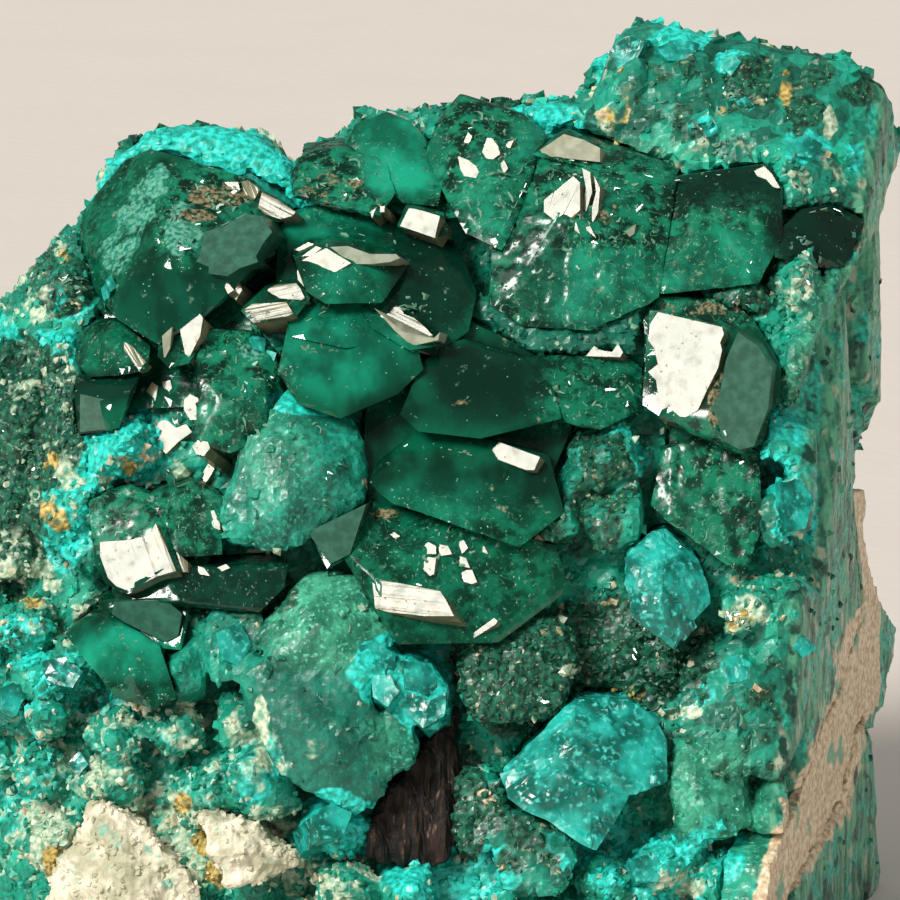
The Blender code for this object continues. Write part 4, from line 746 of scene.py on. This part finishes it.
CREAM = (
    (34.0, 37.2, 4.4, 0.7, 0.28), (30.8, 40.0, 0.7, 2.0, 0.26), (40.8, 36.0, 1.4, 0.9, 0.30),
    (34.3, 9.4, 0.8, 0.3, 0.7), (4.7, 6.1, 1.1, 1.0, 0.5), (7.6, 7.2, 6.5, 2.4, 0.31),
    (2.0, 16.6, 0.6, 0.4, 0.8), (2.6, 15.7, 0.5, 0.3, 0.7), (3.2, 13.8, 1.8, 1.0, 0.34),
    (12.9, 17.2, 0.8, 0.4, 0.7), (8.0, 4.4, 2.0, 0.9, 0.5), (3.2, 32.4, 0.3, 0.4, 0.5),
    (13.1, 8.4, 0.35, 1.6, 0.6), (37.3, 14.5, 1.0, 1.2, 0.36), (1.5, 5.0, 2.4, 4.0, 0.30),
    (16.0, 1.0, 2.4, 1.2, 0.4), (28.5, 11.5, 0.4, 0.2, 0.8), (39.8, 31.0, 0.7, 1.5, 0.38),
    (2.6, 3.2, 0.9, 1.6, 0.6), (9.4, 2.6, 1.0, 1.4, 0.55), (13.6, 4.0, 1.4, 0.8, 0.5),
    (41.4, 38.8, 0.3, 0.8, 0.6), (7.4, 21.4, 1.6, 1.0, 0.32), (34.2, 0.8, 1.4, 0.8, 0.4),
    (3.6, 26.0, 0.8, 1.8, 0.36), (2.4, 21.2, 1.6, 1.6, 0.32), (1.0, 17.2, 1.4, 1.4, 0.34),
    (5.0, 20.4, 1.2, 0.8, 0.38), (1.4, 30.0, 1.4, 1.2, 0.30), (1.2, 25.6, 1.2, 1.4, 0.27))
DARK = (
    (1.4, 24.0, 2.4, 3.2, 1.0), (30.8, 12.2, 4.0, 2.2, 1.0), (6.4, 14.0, 2.0, 1.4, 1.0),
    (25.6, 11.4, 2.4, 2.6, 0.8), (29.0, 20.6, 2.6, 3.0, 0.5), (37.4, 41.0, 1.0, 0.9, 0.8),
    (40.2, 39.4, 0.9, 0.7, 0.8), (40.8, 41.3, 0.8, 0.6, 0.7), (43.0, 40.3, 1.0, 0.6, 0.7),
    (12.6, 15.4, 2.0, 1.2, 0.9), (23.4, 4.8, 0.8, 2.6, 0.8), (36.6, 30.4, 1.8, 1.4, 0.6),
    (37.6, 9.0, 3.0, 3.4, 0.30),
    (26.6, 4.0, 2.0, 2.4, 0.5), (3.2, 31.0, 1.4, 1.6, 0.5), (0.5, 18.5, 1.6, 3.0, 0.7),
    (35.4, 39.5, 4.4, 2.6, 0.3), (9.0, 20.0, 1.2, 1.4, 0.6))
# Places that are evenly darker, some lumps by their own darker teal and the hollows under and beside the
# crystals by painted shade, and places that are evenly misty and greyish
DARKER_TONE_AND_SHADE = (
    (15.8, 8.4, 3.2, 3.6, 0.60), (26.6, 4.0, 2.2, 2.2, 0.5), (14.6, 21.6, 2.6, 3.0, 0.22),
    (37.4, 9.2, 2.8, 3.2, 0.35), (12.0, 12.8, 1.2, 1.8, 0.3), (36.8, 40.2, 5.0, 2.2, 0.35),
    # The last entry on the next line, under the shelf crystals, and the two on the line after, beside
    # the great crystal, are painted shade
    (38.6, 19.0, 0.9, 1.4, 0.5), (35.0, 40.4, 4.6, 2.0, 0.3), (29.0, 28.3, 4.4, 1.0, 0.75),
    (13.6, 30.6, 1.2, 2.0, 0.7), (24.6, 28.6, 1.2, 2.0, 0.7),
    (42.4, 40.0, 2.0, 1.6, 0.3))
MIST = (
    (16.3, 14.1, 2.8, 2.1, 0.85), (13.6, 22.8, 1.6, 2.2, 0.35), (35.4, 5.4, 1.9, 2.4, 0.6),
    (38.6, 3.2, 1.3, 2.8, 0.6), (40.2, 14.2, 1.2, 1.2, 0.4), (5.6, 24.0, 1.0, 0.9, 0.5),
    (19.4, 8.2, 1.0, 1.8, 0.4), (30.0, 22.4, 1.2, 1.0, 0.4), (32.0, 37.3, 3.0, 0.7, 0.4),
    (44.6, 36.4, 0.5, 0.9, 1.0), (44.0, 35.0, 0.5, 0.9, 1.0), (43.3, 33.4, 0.5, 0.9, 1.0),
    (42.3, 31.8, 0.5, 0.9, 1.0), (41.3, 30.2, 0.5, 0.9, 1.0), (40.6, 28.6, 0.4, 0.9, 1.0),
    (40.0, 27.0, 0.4, 0.9, 1.0), (39.5, 25.6, 0.35, 0.8, 1.0))
# Places broken into bigger flat faces, with few grains
BLOCKY = (
    (37.0, 40.0, 7.4, 3.4, 1.0), (10.0, 36.6, 5.8, 2.6, 0.85), (26.0, 39.0, 3.6, 1.0, 0.8),
    (0.5, 27.6, 1.4, 1.6, 0.6), (42.6, 35.8, 2.0, 2.2, 0.6), (38.2, 9.4, 3.2, 4.0, 0.7))
RUST = (
    (2.8, 19.2, 0.5, 0.6, 0.55), (2.7, 22.0, 0.3, 0.4, 0.6), (6.4, 21.7, 0.4, 0.3, 0.6),
    (3.4, 32.1, 0.25, 0.25, 0.8), (2.7, 2.1, 0.5, 0.6, 0.7), (10.3, 3.0, 0.5, 0.8, 0.8),
    (11.0, 1.4, 0.6, 0.6, 0.8), (9.3, 4.9, 0.5, 0.4, 0.6), (30.7, 13.6, 0.5, 0.4, 0.5),
    (31.6, 10.4, 0.8, 0.4, 0.5), (31.0, 39.4, 0.5, 1.6, 0.34), (39.3, 40.2, 0.3, 1.0, 0.36),
    (36.0, 38.7, 0.4, 0.8, 0.38), (37.0, 14.0, 0.5, 0.3, 0.5), (1.6, 14.8, 0.4, 0.3, 0.5))
# Right of this line of (up, x) the front ends and the sheared side begins
SIDE_EDGE = ((-4, 37.0), (0, 37.4), (2, 38.2), (6, 39.8), (10, 40.8), (14, 41.4), (18, 41.0),
             (22, 40.6), (25, 39.6), (27, 40.2), (30, 41.4), (33, 43.0), (37, 44.8), (45, 46.5))
# The vein as (up, x, half width)
VEIN = ((-4, 38.0, 0.5), (0.2, 38.5, 0.6), (1.9, 39.3, 0.8), (3.2, 40.1, 0.9), (4.3, 40.6, 1.1),
        (5.5, 41.1, 1.05), (7, 41.6, 0.9), (9, 42.0, 0.8), (10.4, 43.1, 1.1), (13, 43.6, 1.2),
        (14.4, 43.8, 0.8), (15, 43.8, 0.35), (17, 43.4, 0.25), (19, 43.2, 0.28), (20.6, 42.9, 0.2))
# Frosted lumps and places, where the surface is smooth and grains are few
FROSTED = (
    (15.0, 21.5, 3.6, 3.8, 1.0), (16.4, 14.0, 3.0, 2.4, 1.0), (16.0, 8.2, 3.4, 3.8, 1.0),
    (20.2, 7.8, 1.2, 2.2, 1.0), (27.7, 19.0, 2.0, 2.0, 0.8), (30.4, 22.0, 2.4, 2.0, 0.7),
    (9.2, 11.6, 1.6, 1.8, 1.0), (35.4, 5.4, 2.0, 2.6, 0.8), (38.6, 9.6, 2.6, 3.4, 0.5),
    (39.6, 21.8, 1.6, 2.6, 0.8), (30.9, 19.0, 2.0, 2.0, 0.7), (39.2, 3.0, 1.6, 3.0, 0.8),
    (11.8, 12.8, 1.4, 2.0, 0.8), (20.4, 0.4, 2.2, 1.8, 0.7), (26.6, 2.4, 2.4, 2.4, 0.6),
    (19.0, 11.4, 1.3, 1.6, 1.0), (21.2, 10.2, 1.3, 2.0, 1.0), (44.3, 35.7, 0.6, 1.8, 0.9),
    (42.8, 32.6, 0.7, 1.8, 0.9), (41.0, 29.4, 0.6, 1.8, 0.9), (39.9, 26.4, 0.5, 1.8, 0.9),
    (33.0, 42.0, 4.5, 2.6, 0.75), (40.5, 40.6, 4.5, 2.6, 0.75), (30.4, 40.0, 1.6, 3.0, 0.7),
    (9.5, 37.8, 4.6, 2.0, 0.8), (28.0, 39.2, 2.4, 1.4, 0.7), (4.0, 32.4, 2.0, 2.0, 0.5))

mass = Finish("massive_dioptase", roughness=0.34, ior=1.62, specular=0.35)
mass_tint = mass.zone("tint")
frost = mass.zone("frosted")
speck = mass.ramp(mass.grain(0.30, 2.0), 0.3, 0.7)
cloud = mass.grain(2.0, 2.0)
patchy = mass.math("SUBTRACT", mass.math("MULTIPLY_ADD", mass_tint, 0.5, mass.grain(1.1, 3.0)), 0.75)


def ragged_zone(name):
    """A zone's share of the mass, with its edge broken up by the patchy noise."""
    return mass.ramp(mass.math("MULTIPLY_ADD", patchy, 1.25, mass.zone(name)), 0.32, 0.52)


fine = mass.ramp(mass.grain(0.2, 2.0, shift=2.0), 0.3, 0.75)
teal = mass.mix(mass.ramp(cloud, 0.36, 0.64), (0.004, 0.097, 0.061), (0.008, 0.284, 0.185))
teal = mass.mix(fine, teal, (0.011, 0.373, 0.249))
teal = mass.mix(mass.ramp(mass_tint, 0.55, 1.0, 0.0, 0.8), teal, (0.018, 0.626, 0.435))
teal = mass.mix(mass.ramp(mass_tint, 0.30, 0.0, 0.0, 0.75), teal, (0.003, 0.06, 0.039))
lump_glow = mass.mix(mass.ramp(cloud, 0.38, 0.62), (0.004, 0.107, 0.072), (0.011, 0.343, 0.237))
lump_glow = mass.mix(mass.ramp(fine, 0.5, 1.0), lump_glow, (0.027, 0.477, 0.332))
colour = mass.mix(frost, teal, lump_glow)
facet_share = mass.math("MULTIPLY_ADD", mass.zone("blocky"), 0.45, 0.25)
colour = mass.mix(facet_share, colour, mass.mix(
    mass.ramp(mass.cells(1.4, "Color"), 0.25, 0.75), (0.003, 0.067, 0.041), (0.013, 0.507, 0.332)))
# Evenly darker teal: the own darker tone of some lumps, and painted shade in the hollows under and
# beside the crystals
colour = mass.mix(mass.zone("shade"), colour, (0.004, 0.089, 0.059))
mist_tone = mass.mix(mass.ramp(cloud, 0.40, 0.60), (0.016, 0.179, 0.104), (0.063, 0.402, 0.237))
mist_tone = mass.mix(mass.ramp(fine, 0.6, 1.0), mist_tone, (0.144, 0.626, 0.396))
colour = mass.mix(mass.zone("mist"), colour, mist_tone)
flawed = mass.math("MULTIPLY", frost, mass.ramp(speck, 0.45, 0.95, 0.0, 0.5))
colour = mass.mix(flawed, colour, (0.005, 0.089, 0.059))
colour = mass.mix(ragged_zone("pale"), colour,
                  mass.mix(speck, (0.005, 0.328, 0.23), (0.027, 0.78, 0.7)))
colour = mass.mix(ragged_zone("dark"), colour,
                  mass.mix(mass.ramp(fine, 0.80, 1.0, 0.0, 0.8), mass.mix(
                      speck, (0.002, 0.027, 0.016), (0.009, 0.158, 0.09)), (0.30, 0.38, 0.20)))
colour = mass.mix(ragged_zone("cream"), colour,
                  mass.mix(speck, (0.16, 0.389, 0.243), (0.70, 0.76, 0.58)))
# A few random grains and spots painted pale cream: partly cream calcite grains, partly painted glints
# for the tiny highlights all over the mass
colour = mass.mix(mass.ramp(mass_tint, 0.94, 0.98, 0.0, 0.85), colour, (0.56, 0.66, 0.50))
colour = mass.mix(ragged_zone("rust"), colour,
                  mass.mix(speck, (0.20, 0.16, 0.05), (0.72, 0.54, 0.16)))
streaks = mass.grain(0.9, 3.0, stretch=(0.6, 0.6, 3.5))
side = mass.mix(mass.ramp(streaks, 0.38, 0.62), (0.016, 0.164, 0.103), (0.117, 0.433, 0.262))
side = mass.mix(mass.ramp(cloud, 0.50, 0.60), side,
                mass.mix(speck, (0.011, 0.224, 0.153), (0.027, 0.567, 0.422)))
side = mass.mix(mass.ramp(mass.grain(0.8, 3.0, stretch=(1, 1, 2.0), shift=9.0), 0.58, 0.68),
                side, (0.40, 0.46, 0.33))
side = mass.mix(mass.ramp(patchy, -0.08, -0.20), side, (0.005, 0.067, 0.046))
colour = mass.mix(mass.zone("side"), colour, side)
vein_tone = mass.mix(speck, (0.48, 0.34, 0.20), (0.86, 0.74, 0.53))
vein_tone = mass.mix(mass.ramp(cloud, 0.60, 0.68, 0.0, 0.8), vein_tone, (0.045, 0.387, 0.256))
colour = mass.mix(ragged_zone("vein"), colour, vein_tone)
calm = mass.math("MULTIPLY_ADD", frost, -0.4, 1.0)
facet_bump = mass.bump(mass.math("MULTIPLY", mass.cells(0.5, "Distance"), calm), 0.08)
mass.set(base_color=colour, normal=facet_bump, roughness=mass.ramp(fine, 0.0, 1.0, 0.52, 0.28))


def remeshed(mesh, voxel):
    """The same closed form in even small squares, as plain mesh data in mm."""
    data = bpy.data.meshes.new("even")
    mesh.to_mesh(data)
    mesh.free()
    item = bpy.data.objects.new("even", data)
    bpy.context.scene.collection.objects.link(item)
    modifier = item.modifiers.new("even", "REMESH")
    modifier.mode = "VOXEL"
    modifier.voxel_size = voxel
    graph = bpy.context.evaluated_depsgraph_get()
    made = bpy.data.meshes.new_from_object(item.evaluated_get(graph))
    bpy.data.objects.remove(item, do_unlink=True)
    return made


def broken_relief(point, scale, height):
    """Height in mm of a surface broken into small tilted flat faces."""
    seed = noise.voronoi(point / scale)[1][0]
    return height * noise.noise_vector(seed * 7.31).dot(point / scale - seed)


def zones_of(data):
    """Write every zone of the mass on a mesh in mm, and return them all."""
    points = np.array([vert.co for vert in data.vertices])
    seen_front = points[:, 1] < BEHIND
    values = {name: zone_strengths(points, places) * seen_front for name, places in (
        ("pale", PALE), ("cream", CREAM), ("dark", DARK), ("rust", RUST), ("frosted", FROSTED),
        ("shade", DARKER_TONE_AND_SHADE), ("mist", MIST), ("blocky", BLOCKY))}
    sheared = (points - np.array(SHEAR_POINT)) @ np.array(SHEAR_NORMAL) > -SHEAR_MARGIN
    x, up = front_measures(points)
    past = x - np.interp(up, *zip(*SIDE_EDGE))
    values["side"] = np.maximum(sheared, np.clip(past / 0.5 + 0.5, 0.0, 1.0) * seen_front)
    vein_up, vein_x, vein_half = zip(*VEIN)
    off_vein = np.abs(x - np.interp(up, vein_up, vein_x)) / np.interp(up, vein_up, vein_half)
    in_vein = (values["side"] > 0.2) & (up < vein_up[-1]) & (points[:, 1] < 4.0)
    values["vein"] = np.clip(1.9 - off_vein, 0.0, 1.0) * in_vein
    for name, shift, less in (("pale", 0.0, 0.15), ("cream", 40.0, 0.62), ("dark", 80.0, 0.2)):
        hidden = [0.0 if front else
                  2.4 * noise.fractal(Vector(point) * 0.17 + Vector((shift, 0, 0)), 0.7, 2.0, 3)
                  for point, front in zip(points, seen_front)]
        values[name] = np.maximum(values[name], np.clip(np.array(hidden) - less, 0.0, 1.0))
    for name, strengths in values.items():
        write_zone(data, name, strengths)
    return values


def shift_corners(data, moves):
    """Move every corner of a mesh in mm, and keep all of them above the table."""
    for vert, move in zip(data.vertices, moves):
        vert.co += move
        vert.co.z = max(vert.co.z, 0.0)


def roughened(data, coarse, fine, rise):
    """Break a mesh in mm into tilted faces, less on frosted lumps and the sheared side."""
    values = zones_of(data)
    moves = []
    for index, vert in enumerate(data.vertices):
        calm = 1.0 - 0.6 * values["frosted"][index]
        if values["side"][index] > 0.5:
            calm = 0.2
        height = broken_relief(vert.co, coarse, rise) + broken_relief(vert.co, fine, 0.4 * rise)
        height = max(-1.1 * rise, min(0.9 * rise, height))
        height = height * calm * (1.0 + 0.5 * values["blocky"][index])
        shake = noise.noise_vector(vert.co * 4.0) * 0.10 * min(calm, 0.6)
        moves.append(vert.normal * (height + CLOSER) + shake)
    shift_corners(data, moves)
    write_zone(data, "grainy", [
        (1.0 - 0.92 * frosted) * (1.0 - 0.95 * on_side) * (1.0 - 0.8 * blocky) * (vert.co.z > 0.3)
        for frosted, on_side, blocky, vert in zip(
            values["frosted"], values["side"], values["blocky"], data.vertices)])
    write_zone(data, "tint", [0.5 + 0.5 * noise.noise(vert.co * 0.8) for vert in data.vertices])


def half_of_mass(front):
    """The front or the back half of the mass, which lap by a millimetre."""
    mesh = mm_copy("massive_dioptase")
    depth = SPLIT_DEPTH + (0.5 if front else -0.5)
    bmesh.ops.bisect_plane(
        mesh, geom=mesh.verts[:] + mesh.edges[:] + mesh.faces[:], plane_co=(0, depth, 0),
        plane_no=(0, 1, 0), clear_outer=front, clear_inner=not front)
    rim = [edge for edge in mesh.edges if edge.is_boundary]
    bmesh.ops.triangle_fill(mesh, edges=rim, use_beauty=True)
    bmesh.ops.recalc_face_normals(mesh, faces=mesh.faces)
    return mesh


front_mass = remeshed(half_of_mass(True), 0.34)
back_mass = remeshed(half_of_mass(False), 0.5)
roughened(front_mass, 1.5, 0.7, 0.55)
roughened(back_mass, 3.2, 1.4, 0.95)
mass_front = finished("mass_front", front_mass, mass.made, "massive_dioptase", ["massive_dioptase"])
mass_back = finished("mass_back", back_mass, mass.made, "massive_dioptase", ["massive_dioptase"])


# GRAINS
# The sugar of small broken dioptase and calcite grains that covers the rough places.
def chip(index):
    """One small angular chip about 2 units across, with a dozen faces."""
    mesh = bmesh.new()
    for corner in range(8):
        height = 1.0 - 2.0 * (corner + 0.5) / 8
        turn = corner * 2.4 + random.uniform(-0.5, 0.5)
        ring = sqrt(1.0 - height * height)
        size = random.uniform(0.7, 1.15)
        mesh.verts.new((ring * cos(turn) * size, ring * sin(turn) * size, height * size))
    bmesh.ops.convex_hull(mesh, input=mesh.verts)
    data = bpy.data.meshes.new(f"chip_{index}")
    mesh.to_mesh(data)
    mesh.free()
    return bpy.data.objects.new(f"chip_{index}", data)


chips = bpy.data.collections.new("chips")
bpy.context.scene.collection.children.link(chips)
for chip_index in range(6):
    chips.objects.link(chip(chip_index))


FULL_TURN = 6.28


def scatter_tree(name):
    """Geometry nodes that strew chips over a surface where its grainy zone is strong."""
    tree = bpy.data.node_groups.new(name, "GeometryNodeTree")
    face = tree.interface
    face.new_socket("Geometry", in_out="INPUT", socket_type="NodeSocketGeometry")
    for label, kind in (("Density", "Float"), ("Smallest", "Float"), ("Largest", "Float"),
                        ("Seed", "Int"), ("Zone", "String"), ("Finish", "Material")):
        face.new_socket(label, in_out="INPUT", socket_type="NodeSocket" + kind)
    face.new_socket("Geometry", in_out="OUTPUT", socket_type="NodeSocketGeometry")
    add, link = tree.nodes.new, tree.links.new
    given, result = add("NodeGroupInput"), add("NodeGroupOutput")
    zone = add("GeometryNodeInputNamedAttribute")
    zone.data_type = "FLOAT"
    link(given.outputs["Zone"], zone.inputs["Name"])
    share = add("ShaderNodeMath")
    share.operation = "MULTIPLY"
    link(given.outputs["Density"], share.inputs[0])
    link(zone.outputs["Attribute"], share.inputs[1])
    strew = add("GeometryNodeDistributePointsOnFaces")
    link(given.outputs["Geometry"], strew.inputs["Mesh"])
    link(share.outputs[0], strew.inputs["Density"])
    link(given.outputs["Seed"], strew.inputs["Seed"])
    shade = add("FunctionNodeRandomValue")
    link(given.outputs["Seed"], shade.inputs["Seed"])
    tint = add("GeometryNodeStoreNamedAttribute")
    tint.data_type = "FLOAT"
    tint.inputs["Name"].default_value = "tint"
    link(strew.outputs["Points"], tint.inputs["Geometry"])
    link(shade.outputs[1], tint.inputs["Value"])
    source = add("GeometryNodeCollectionInfo")
    source.inputs["Collection"].default_value = chips
    source.inputs["Separate Children"].default_value = True
    source.inputs["Reset Children"].default_value = True
    size = add("FunctionNodeRandomValue")
    size.data_type = "FLOAT_VECTOR"
    link(given.outputs["Smallest"], size.inputs[0])
    link(given.outputs["Largest"], size.inputs[1])
    turn = add("FunctionNodeRandomValue")
    turn.data_type = "FLOAT_VECTOR"
    turn.inputs[1].default_value = (FULL_TURN, FULL_TURN, FULL_TURN)
    copy = add("GeometryNodeInstanceOnPoints")
    copy.inputs["Pick Instance"].default_value = True
    link(tint.outputs["Geometry"], copy.inputs["Points"])
    link(source.outputs["Instances"], copy.inputs["Instance"])
    link(turn.outputs[0], copy.inputs["Rotation"])
    link(size.outputs[0], copy.inputs["Scale"])
    real = add("GeometryNodeRealizeInstances")
    link(copy.outputs["Instances"], real.inputs["Geometry"])
    paint = add("GeometryNodeSetMaterial")
    link(real.outputs["Geometry"], paint.inputs["Geometry"])
    link(given.outputs["Finish"], paint.inputs["Material"])
    link(paint.outputs["Geometry"], result.inputs["Geometry"])
    return tree


scatter = scatter_tree("strewn_grains")


def grains(name, ground, density, smallest, largest, seed, material, slot):
    """Strew chips over a finished piece. Density is per square mm and radii are in mm."""
    carrier = bpy.data.objects.new(name, ground.data.copy())
    bpy.context.scene.collection.objects.link(carrier)
    modifier = carrier.modifiers.new("grains", "NODES")
    modifier.node_group = scatter
    given = {"Density": density * 1e6, "Smallest": smallest * 0.001, "Largest": largest * 0.001,
             "Seed": seed, "Zone": "grainy", "Finish": material}
    for socket in scatter.interface.items_tree:
        if socket.in_out == "INPUT" and socket.name in given:
            modifier[socket.identifier] = given[socket.name]
    graph = bpy.context.evaluated_depsgraph_get()
    data = bpy.data.meshes.new_from_object(carrier.evaluated_get(graph))
    bpy.data.objects.remove(carrier, do_unlink=True)
    data.materials.clear()
    data.materials.append(material)
    item = bpy.data.objects.new(name, data)
    bpy.context.scene.collection.objects.link(item)
    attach(item, "root")
    return item


grains("front_grains", mass_front, 1.7, 0.14, 0.38, 3, mass.made, "massive_dioptase")
grains("front_sugar", mass_front, 2.4, 0.09, 0.22, 5, mass.made, "massive_dioptase")
grains("back_grains", mass_back, 1.3, 0.22, 0.6, 9, mass.made, "massive_dioptase")


# TURQUOISE CRYSTALS
# The egg-shaped pale crystal and the big cleavage piece, brighter and more see-through
# than the mass, with flat cleavage faces and bright broken edges.
pale = Finish("pale_dioptase", roughness=0.3, ior=1.66, transmission=0.25, specular=0.32)
pale_cloud = pale.ramp(pale.grain(1.5, 3.0), 0.36, 0.66)
pale_tone = pale.mix(pale_cloud, (0.003, 0.15, 0.112), (0.009, 0.575, 0.475))
pale_tone = pale.mix(pale.ramp(pale.grain(0.3, 3.0, shift=3.0), 0.52, 0.72), pale_tone,
                     (0.09, 0.775, 0.675))
pale.set(base_color=pale_tone, roughness=pale.ramp(pale_cloud, 0.0, 1.0, 0.24, 0.42),
         normal=pale.bump(pale.cells(0.6, "Distance"), 0.08))
pale.absorb((0.05, 0.90, 0.80), 250.0)
for node_name in ("turquoise_crystal", "cleavage_piece"):
    gem = mm_copy(node_name)
    bmesh.ops.dissolve_limit(gem, angle_limit=radians(0.8), verts=gem.verts, edges=gem.edges)
    bmesh.ops.triangulate(gem, faces=gem.faces)
    split_long_edges(gem, 0.35)
    gem.normal_update()
    moves = [vert.normal * (broken_relief(vert.co, 1.7, 0.42) + broken_relief(vert.co, 0.7, 0.14))
             for vert in gem.verts]
    for vert, move in zip(gem.verts, moves):
        vert.co += move
        vert.co.z = max(vert.co.z, 0.0)
    finished("pale_" + node_name, gem, pale.made, "pale_dioptase", [node_name])


# Cleaved turquoise flakes on the mass: how far each turns aside and up, and its outline
FLAKES = (
    (0.3, 0.2, (18.0, 12.7), (18.8, 12.9), (19.8, 12.3), (19.7, 11.2), (19.0, 10.9), (18.2, 11.6)),
    (-0.2, 0.4, (18.6, 11.2), (19.5, 11.3), (20.0, 10.5), (19.4, 9.7), (18.6, 10.1)),
    (0.4, 0.1, (20.2, 12.0), (21.3, 11.8), (22.1, 10.8), (21.4, 10.2), (20.3, 10.6)),
    (-0.1, 0.2, (20.3, 10.4), (21.5, 10.0), (22.3, 10.4), (22.2, 9.2), (21.2, 8.6), (20.4, 9.2)),
    (0.5, 0.3, (39.0, 20.9), (40.0, 21.1), (40.7, 20.0), (40.3, 18.6), (39.4, 18.4), (39.1, 19.6)),
    (0.1, 0.5, (36.2, 11.9), (36.9, 12.3), (37.5, 11.8), (37.3, 11.0), (36.5, 10.9)),
    (0.3, 0.1, (39.3, 12.9), (40.2, 13.2), (40.8, 12.6), (40.1, 12.1)),
    (0.2, 0.5, (32.8, 42.6), (33.8, 43.1), (35.0, 42.8), (34.6, 42.1), (33.4, 42.0)),
    (-0.3, 0.3, (35.9, 41.8), (36.5, 42.3), (37.1, 41.9), (36.6, 41.2)),
    (0.2, 0.1, (36.7, 39.9), (37.3, 40.2), (37.8, 39.8), (37.2, 39.4)),
    (0.3, 0.4, (35.0, 38.8), (35.6, 39.0), (36.0, 38.6), (35.4, 38.3)),
    (0.1, 0.3, (39.4, 37.9), (40.3, 38.3), (41.1, 37.8), (40.6, 37.1), (39.8, 37.2)),
    (-0.3, 0.1, (30.4, 42.4), (31.3, 43.2), (32.2, 43.0), (31.8, 41.8), (30.9, 41.4)),
    (0.3, 0.3, (0.0, 10.6), (0.9, 11.0), (1.4, 10.2), (0.8, 9.3), (0.1, 9.6)),
    (-0.1, 0.4, (2.1, 11.9), (3.4, 12.2), (4.2, 11.4), (3.6, 10.6), (2.4, 10.8)),
    (0.3, 0.1, (11.0, 13.4), (12.0, 13.9), (12.6, 12.8), (12.0, 11.6), (11.2, 12.0)),
    (0.2, 0.4, (5.3, 31.0), (5.6, 31.2), (5.9, 30.7), (5.5, 30.4)),
    (-0.2, 0.2, (3.4, 6.9), (4.0, 7.4), (4.4, 6.8), (3.9, 6.2)),
    (0.3, 0.3, (15.6, 4.2), (16.6, 4.8), (17.6, 4.4), (17.2, 3.2), (16.0, 3.0)),
    (0.1, 0.2, (31.4, 1.9), (32.6, 2.4), (33.4, 1.8), (32.8, 0.9), (31.8, 0.9)),
    (0.4, 0.2, (12.6, 28.2), (13.3, 28.0), (13.2, 27.4), (12.7, 27.6)),
    (0.0, 0.4, (13.3, 27.5), (13.8, 27.4), (13.7, 26.9), (13.4, 27.0)))
flake_mesh = bmesh.new()
for aside, upward, *outline in FLAKES:
    way = (Vector((aside, 0.0, upward)) - AHEAD).normalized()
    flat_step(flake_mesh, outline, way, 0.12, 0.8)
bmesh.ops.triangulate(flake_mesh, faces=flake_mesh.faces)
split_long_edges(flake_mesh, 0.4)
bmesh.ops.recalc_face_normals(flake_mesh, faces=flake_mesh.faces)
for vert in flake_mesh.verts:
    vert.co += noise.noise_vector(vert.co * 1.3) * 0.12
finished("turquoise_flakes", flake_mesh, pale.made, "pale_dioptase")


# CALCITE
# Cream-white sugary calcite at the lower left, and the tan vein in the sheared side.
cream = Finish("calcite", roughness=0.55, ior=1.49)
milky = cream.mix(cream.ramp(cream.grain(1.4, 4.0), 0.35, 0.7), (0.46, 0.46, 0.31), (0.86, 0.80, 0.64))
milky = cream.mix(cream.ramp(cream.grain(0.9, 3.0, shift=5.0), 0.6, 0.75), milky, (0.20, 0.48, 0.36))
cream.set(base_color=milky, normal=cream.bump(cream.cells(0.4, "Distance"), 0.09))
for node_name, finish, slot, voxel in (
        ("calcite_patch", cream, "calcite", 0.22), ("calcite_grain", cream, "calcite", 0.2),
        ("calcite_vein", mass, "stained_calcite", 0.16)):
    data = remeshed(mm_copy(node_name), voxel)
    moves = []
    for vert in data.vertices:
        height = (broken_relief(vert.co, 1.1, 0.22)
                  + 0.40 * noise.fractal(vert.co * 0.6, 0.8, 2.0, 3))
        moves.append(vert.normal * height * (0.35 if "vein" in node_name else 1.0))
    shift_corners(data, moves)
    if "vein" in node_name:
        zones_of(data)
    piece = finished("stone_" + node_name, data, finish.made, slot, [node_name])
    write_zone(piece.data, "grainy", [1.0] * len(piece.data.vertices))
    write_zone(piece.data, "tint", [0.5] * len(piece.data.vertices))
    if "vein" not in node_name:
        grains("grit_" + node_name, piece, 3.0, 0.10, 0.26, 11, finish.made, slot)


# LIMONITE
# Soft brown-black iron stain that fills the hollow below the middle in upright fibres.
earth = Finish("limonite", roughness=0.75)
fibres = earth.grain(0.5, 4.0, stretch=(0.6, 0.6, 4.0))
rusty = earth.mix(earth.ramp(fibres, 0.40, 0.75), (0.002, 0.0015, 0.001), (0.040, 0.018, 0.009))
earth.set(base_color=earth.mix(earth.ramp(earth.grain(0.35, 3.0, stretch=(0.7, 0.7, 4.0), shift=5.0),
                                          0.62, 0.74), rusty, (0.16, 0.10, 0.075)),
          normal=earth.bump(fibres, 0.35))
data = remeshed(mm_copy("limonite_pocket"), 0.2)
shift_corners(data, [
    vert.normal * 0.5 * noise.noise(Vector((vert.co.x * 1.6, vert.co.y * 1.6, vert.co.z * 0.3)))
    + Vector((0, 0.3, 0)) * noise.fractal(vert.co * 0.8, 0.8, 2.0, 2)
    for vert in data.vertices])
finished("limonite_fibres", data, earth.made, "limonite", ["limonite_pocket"])

# The loose chips were only patterns for the grains
bpy.data.collections.remove(chips)
for left_over in [item for item in bpy.data.objects if item.name.startswith("chip_")]:
    bpy.data.objects.remove(left_over)
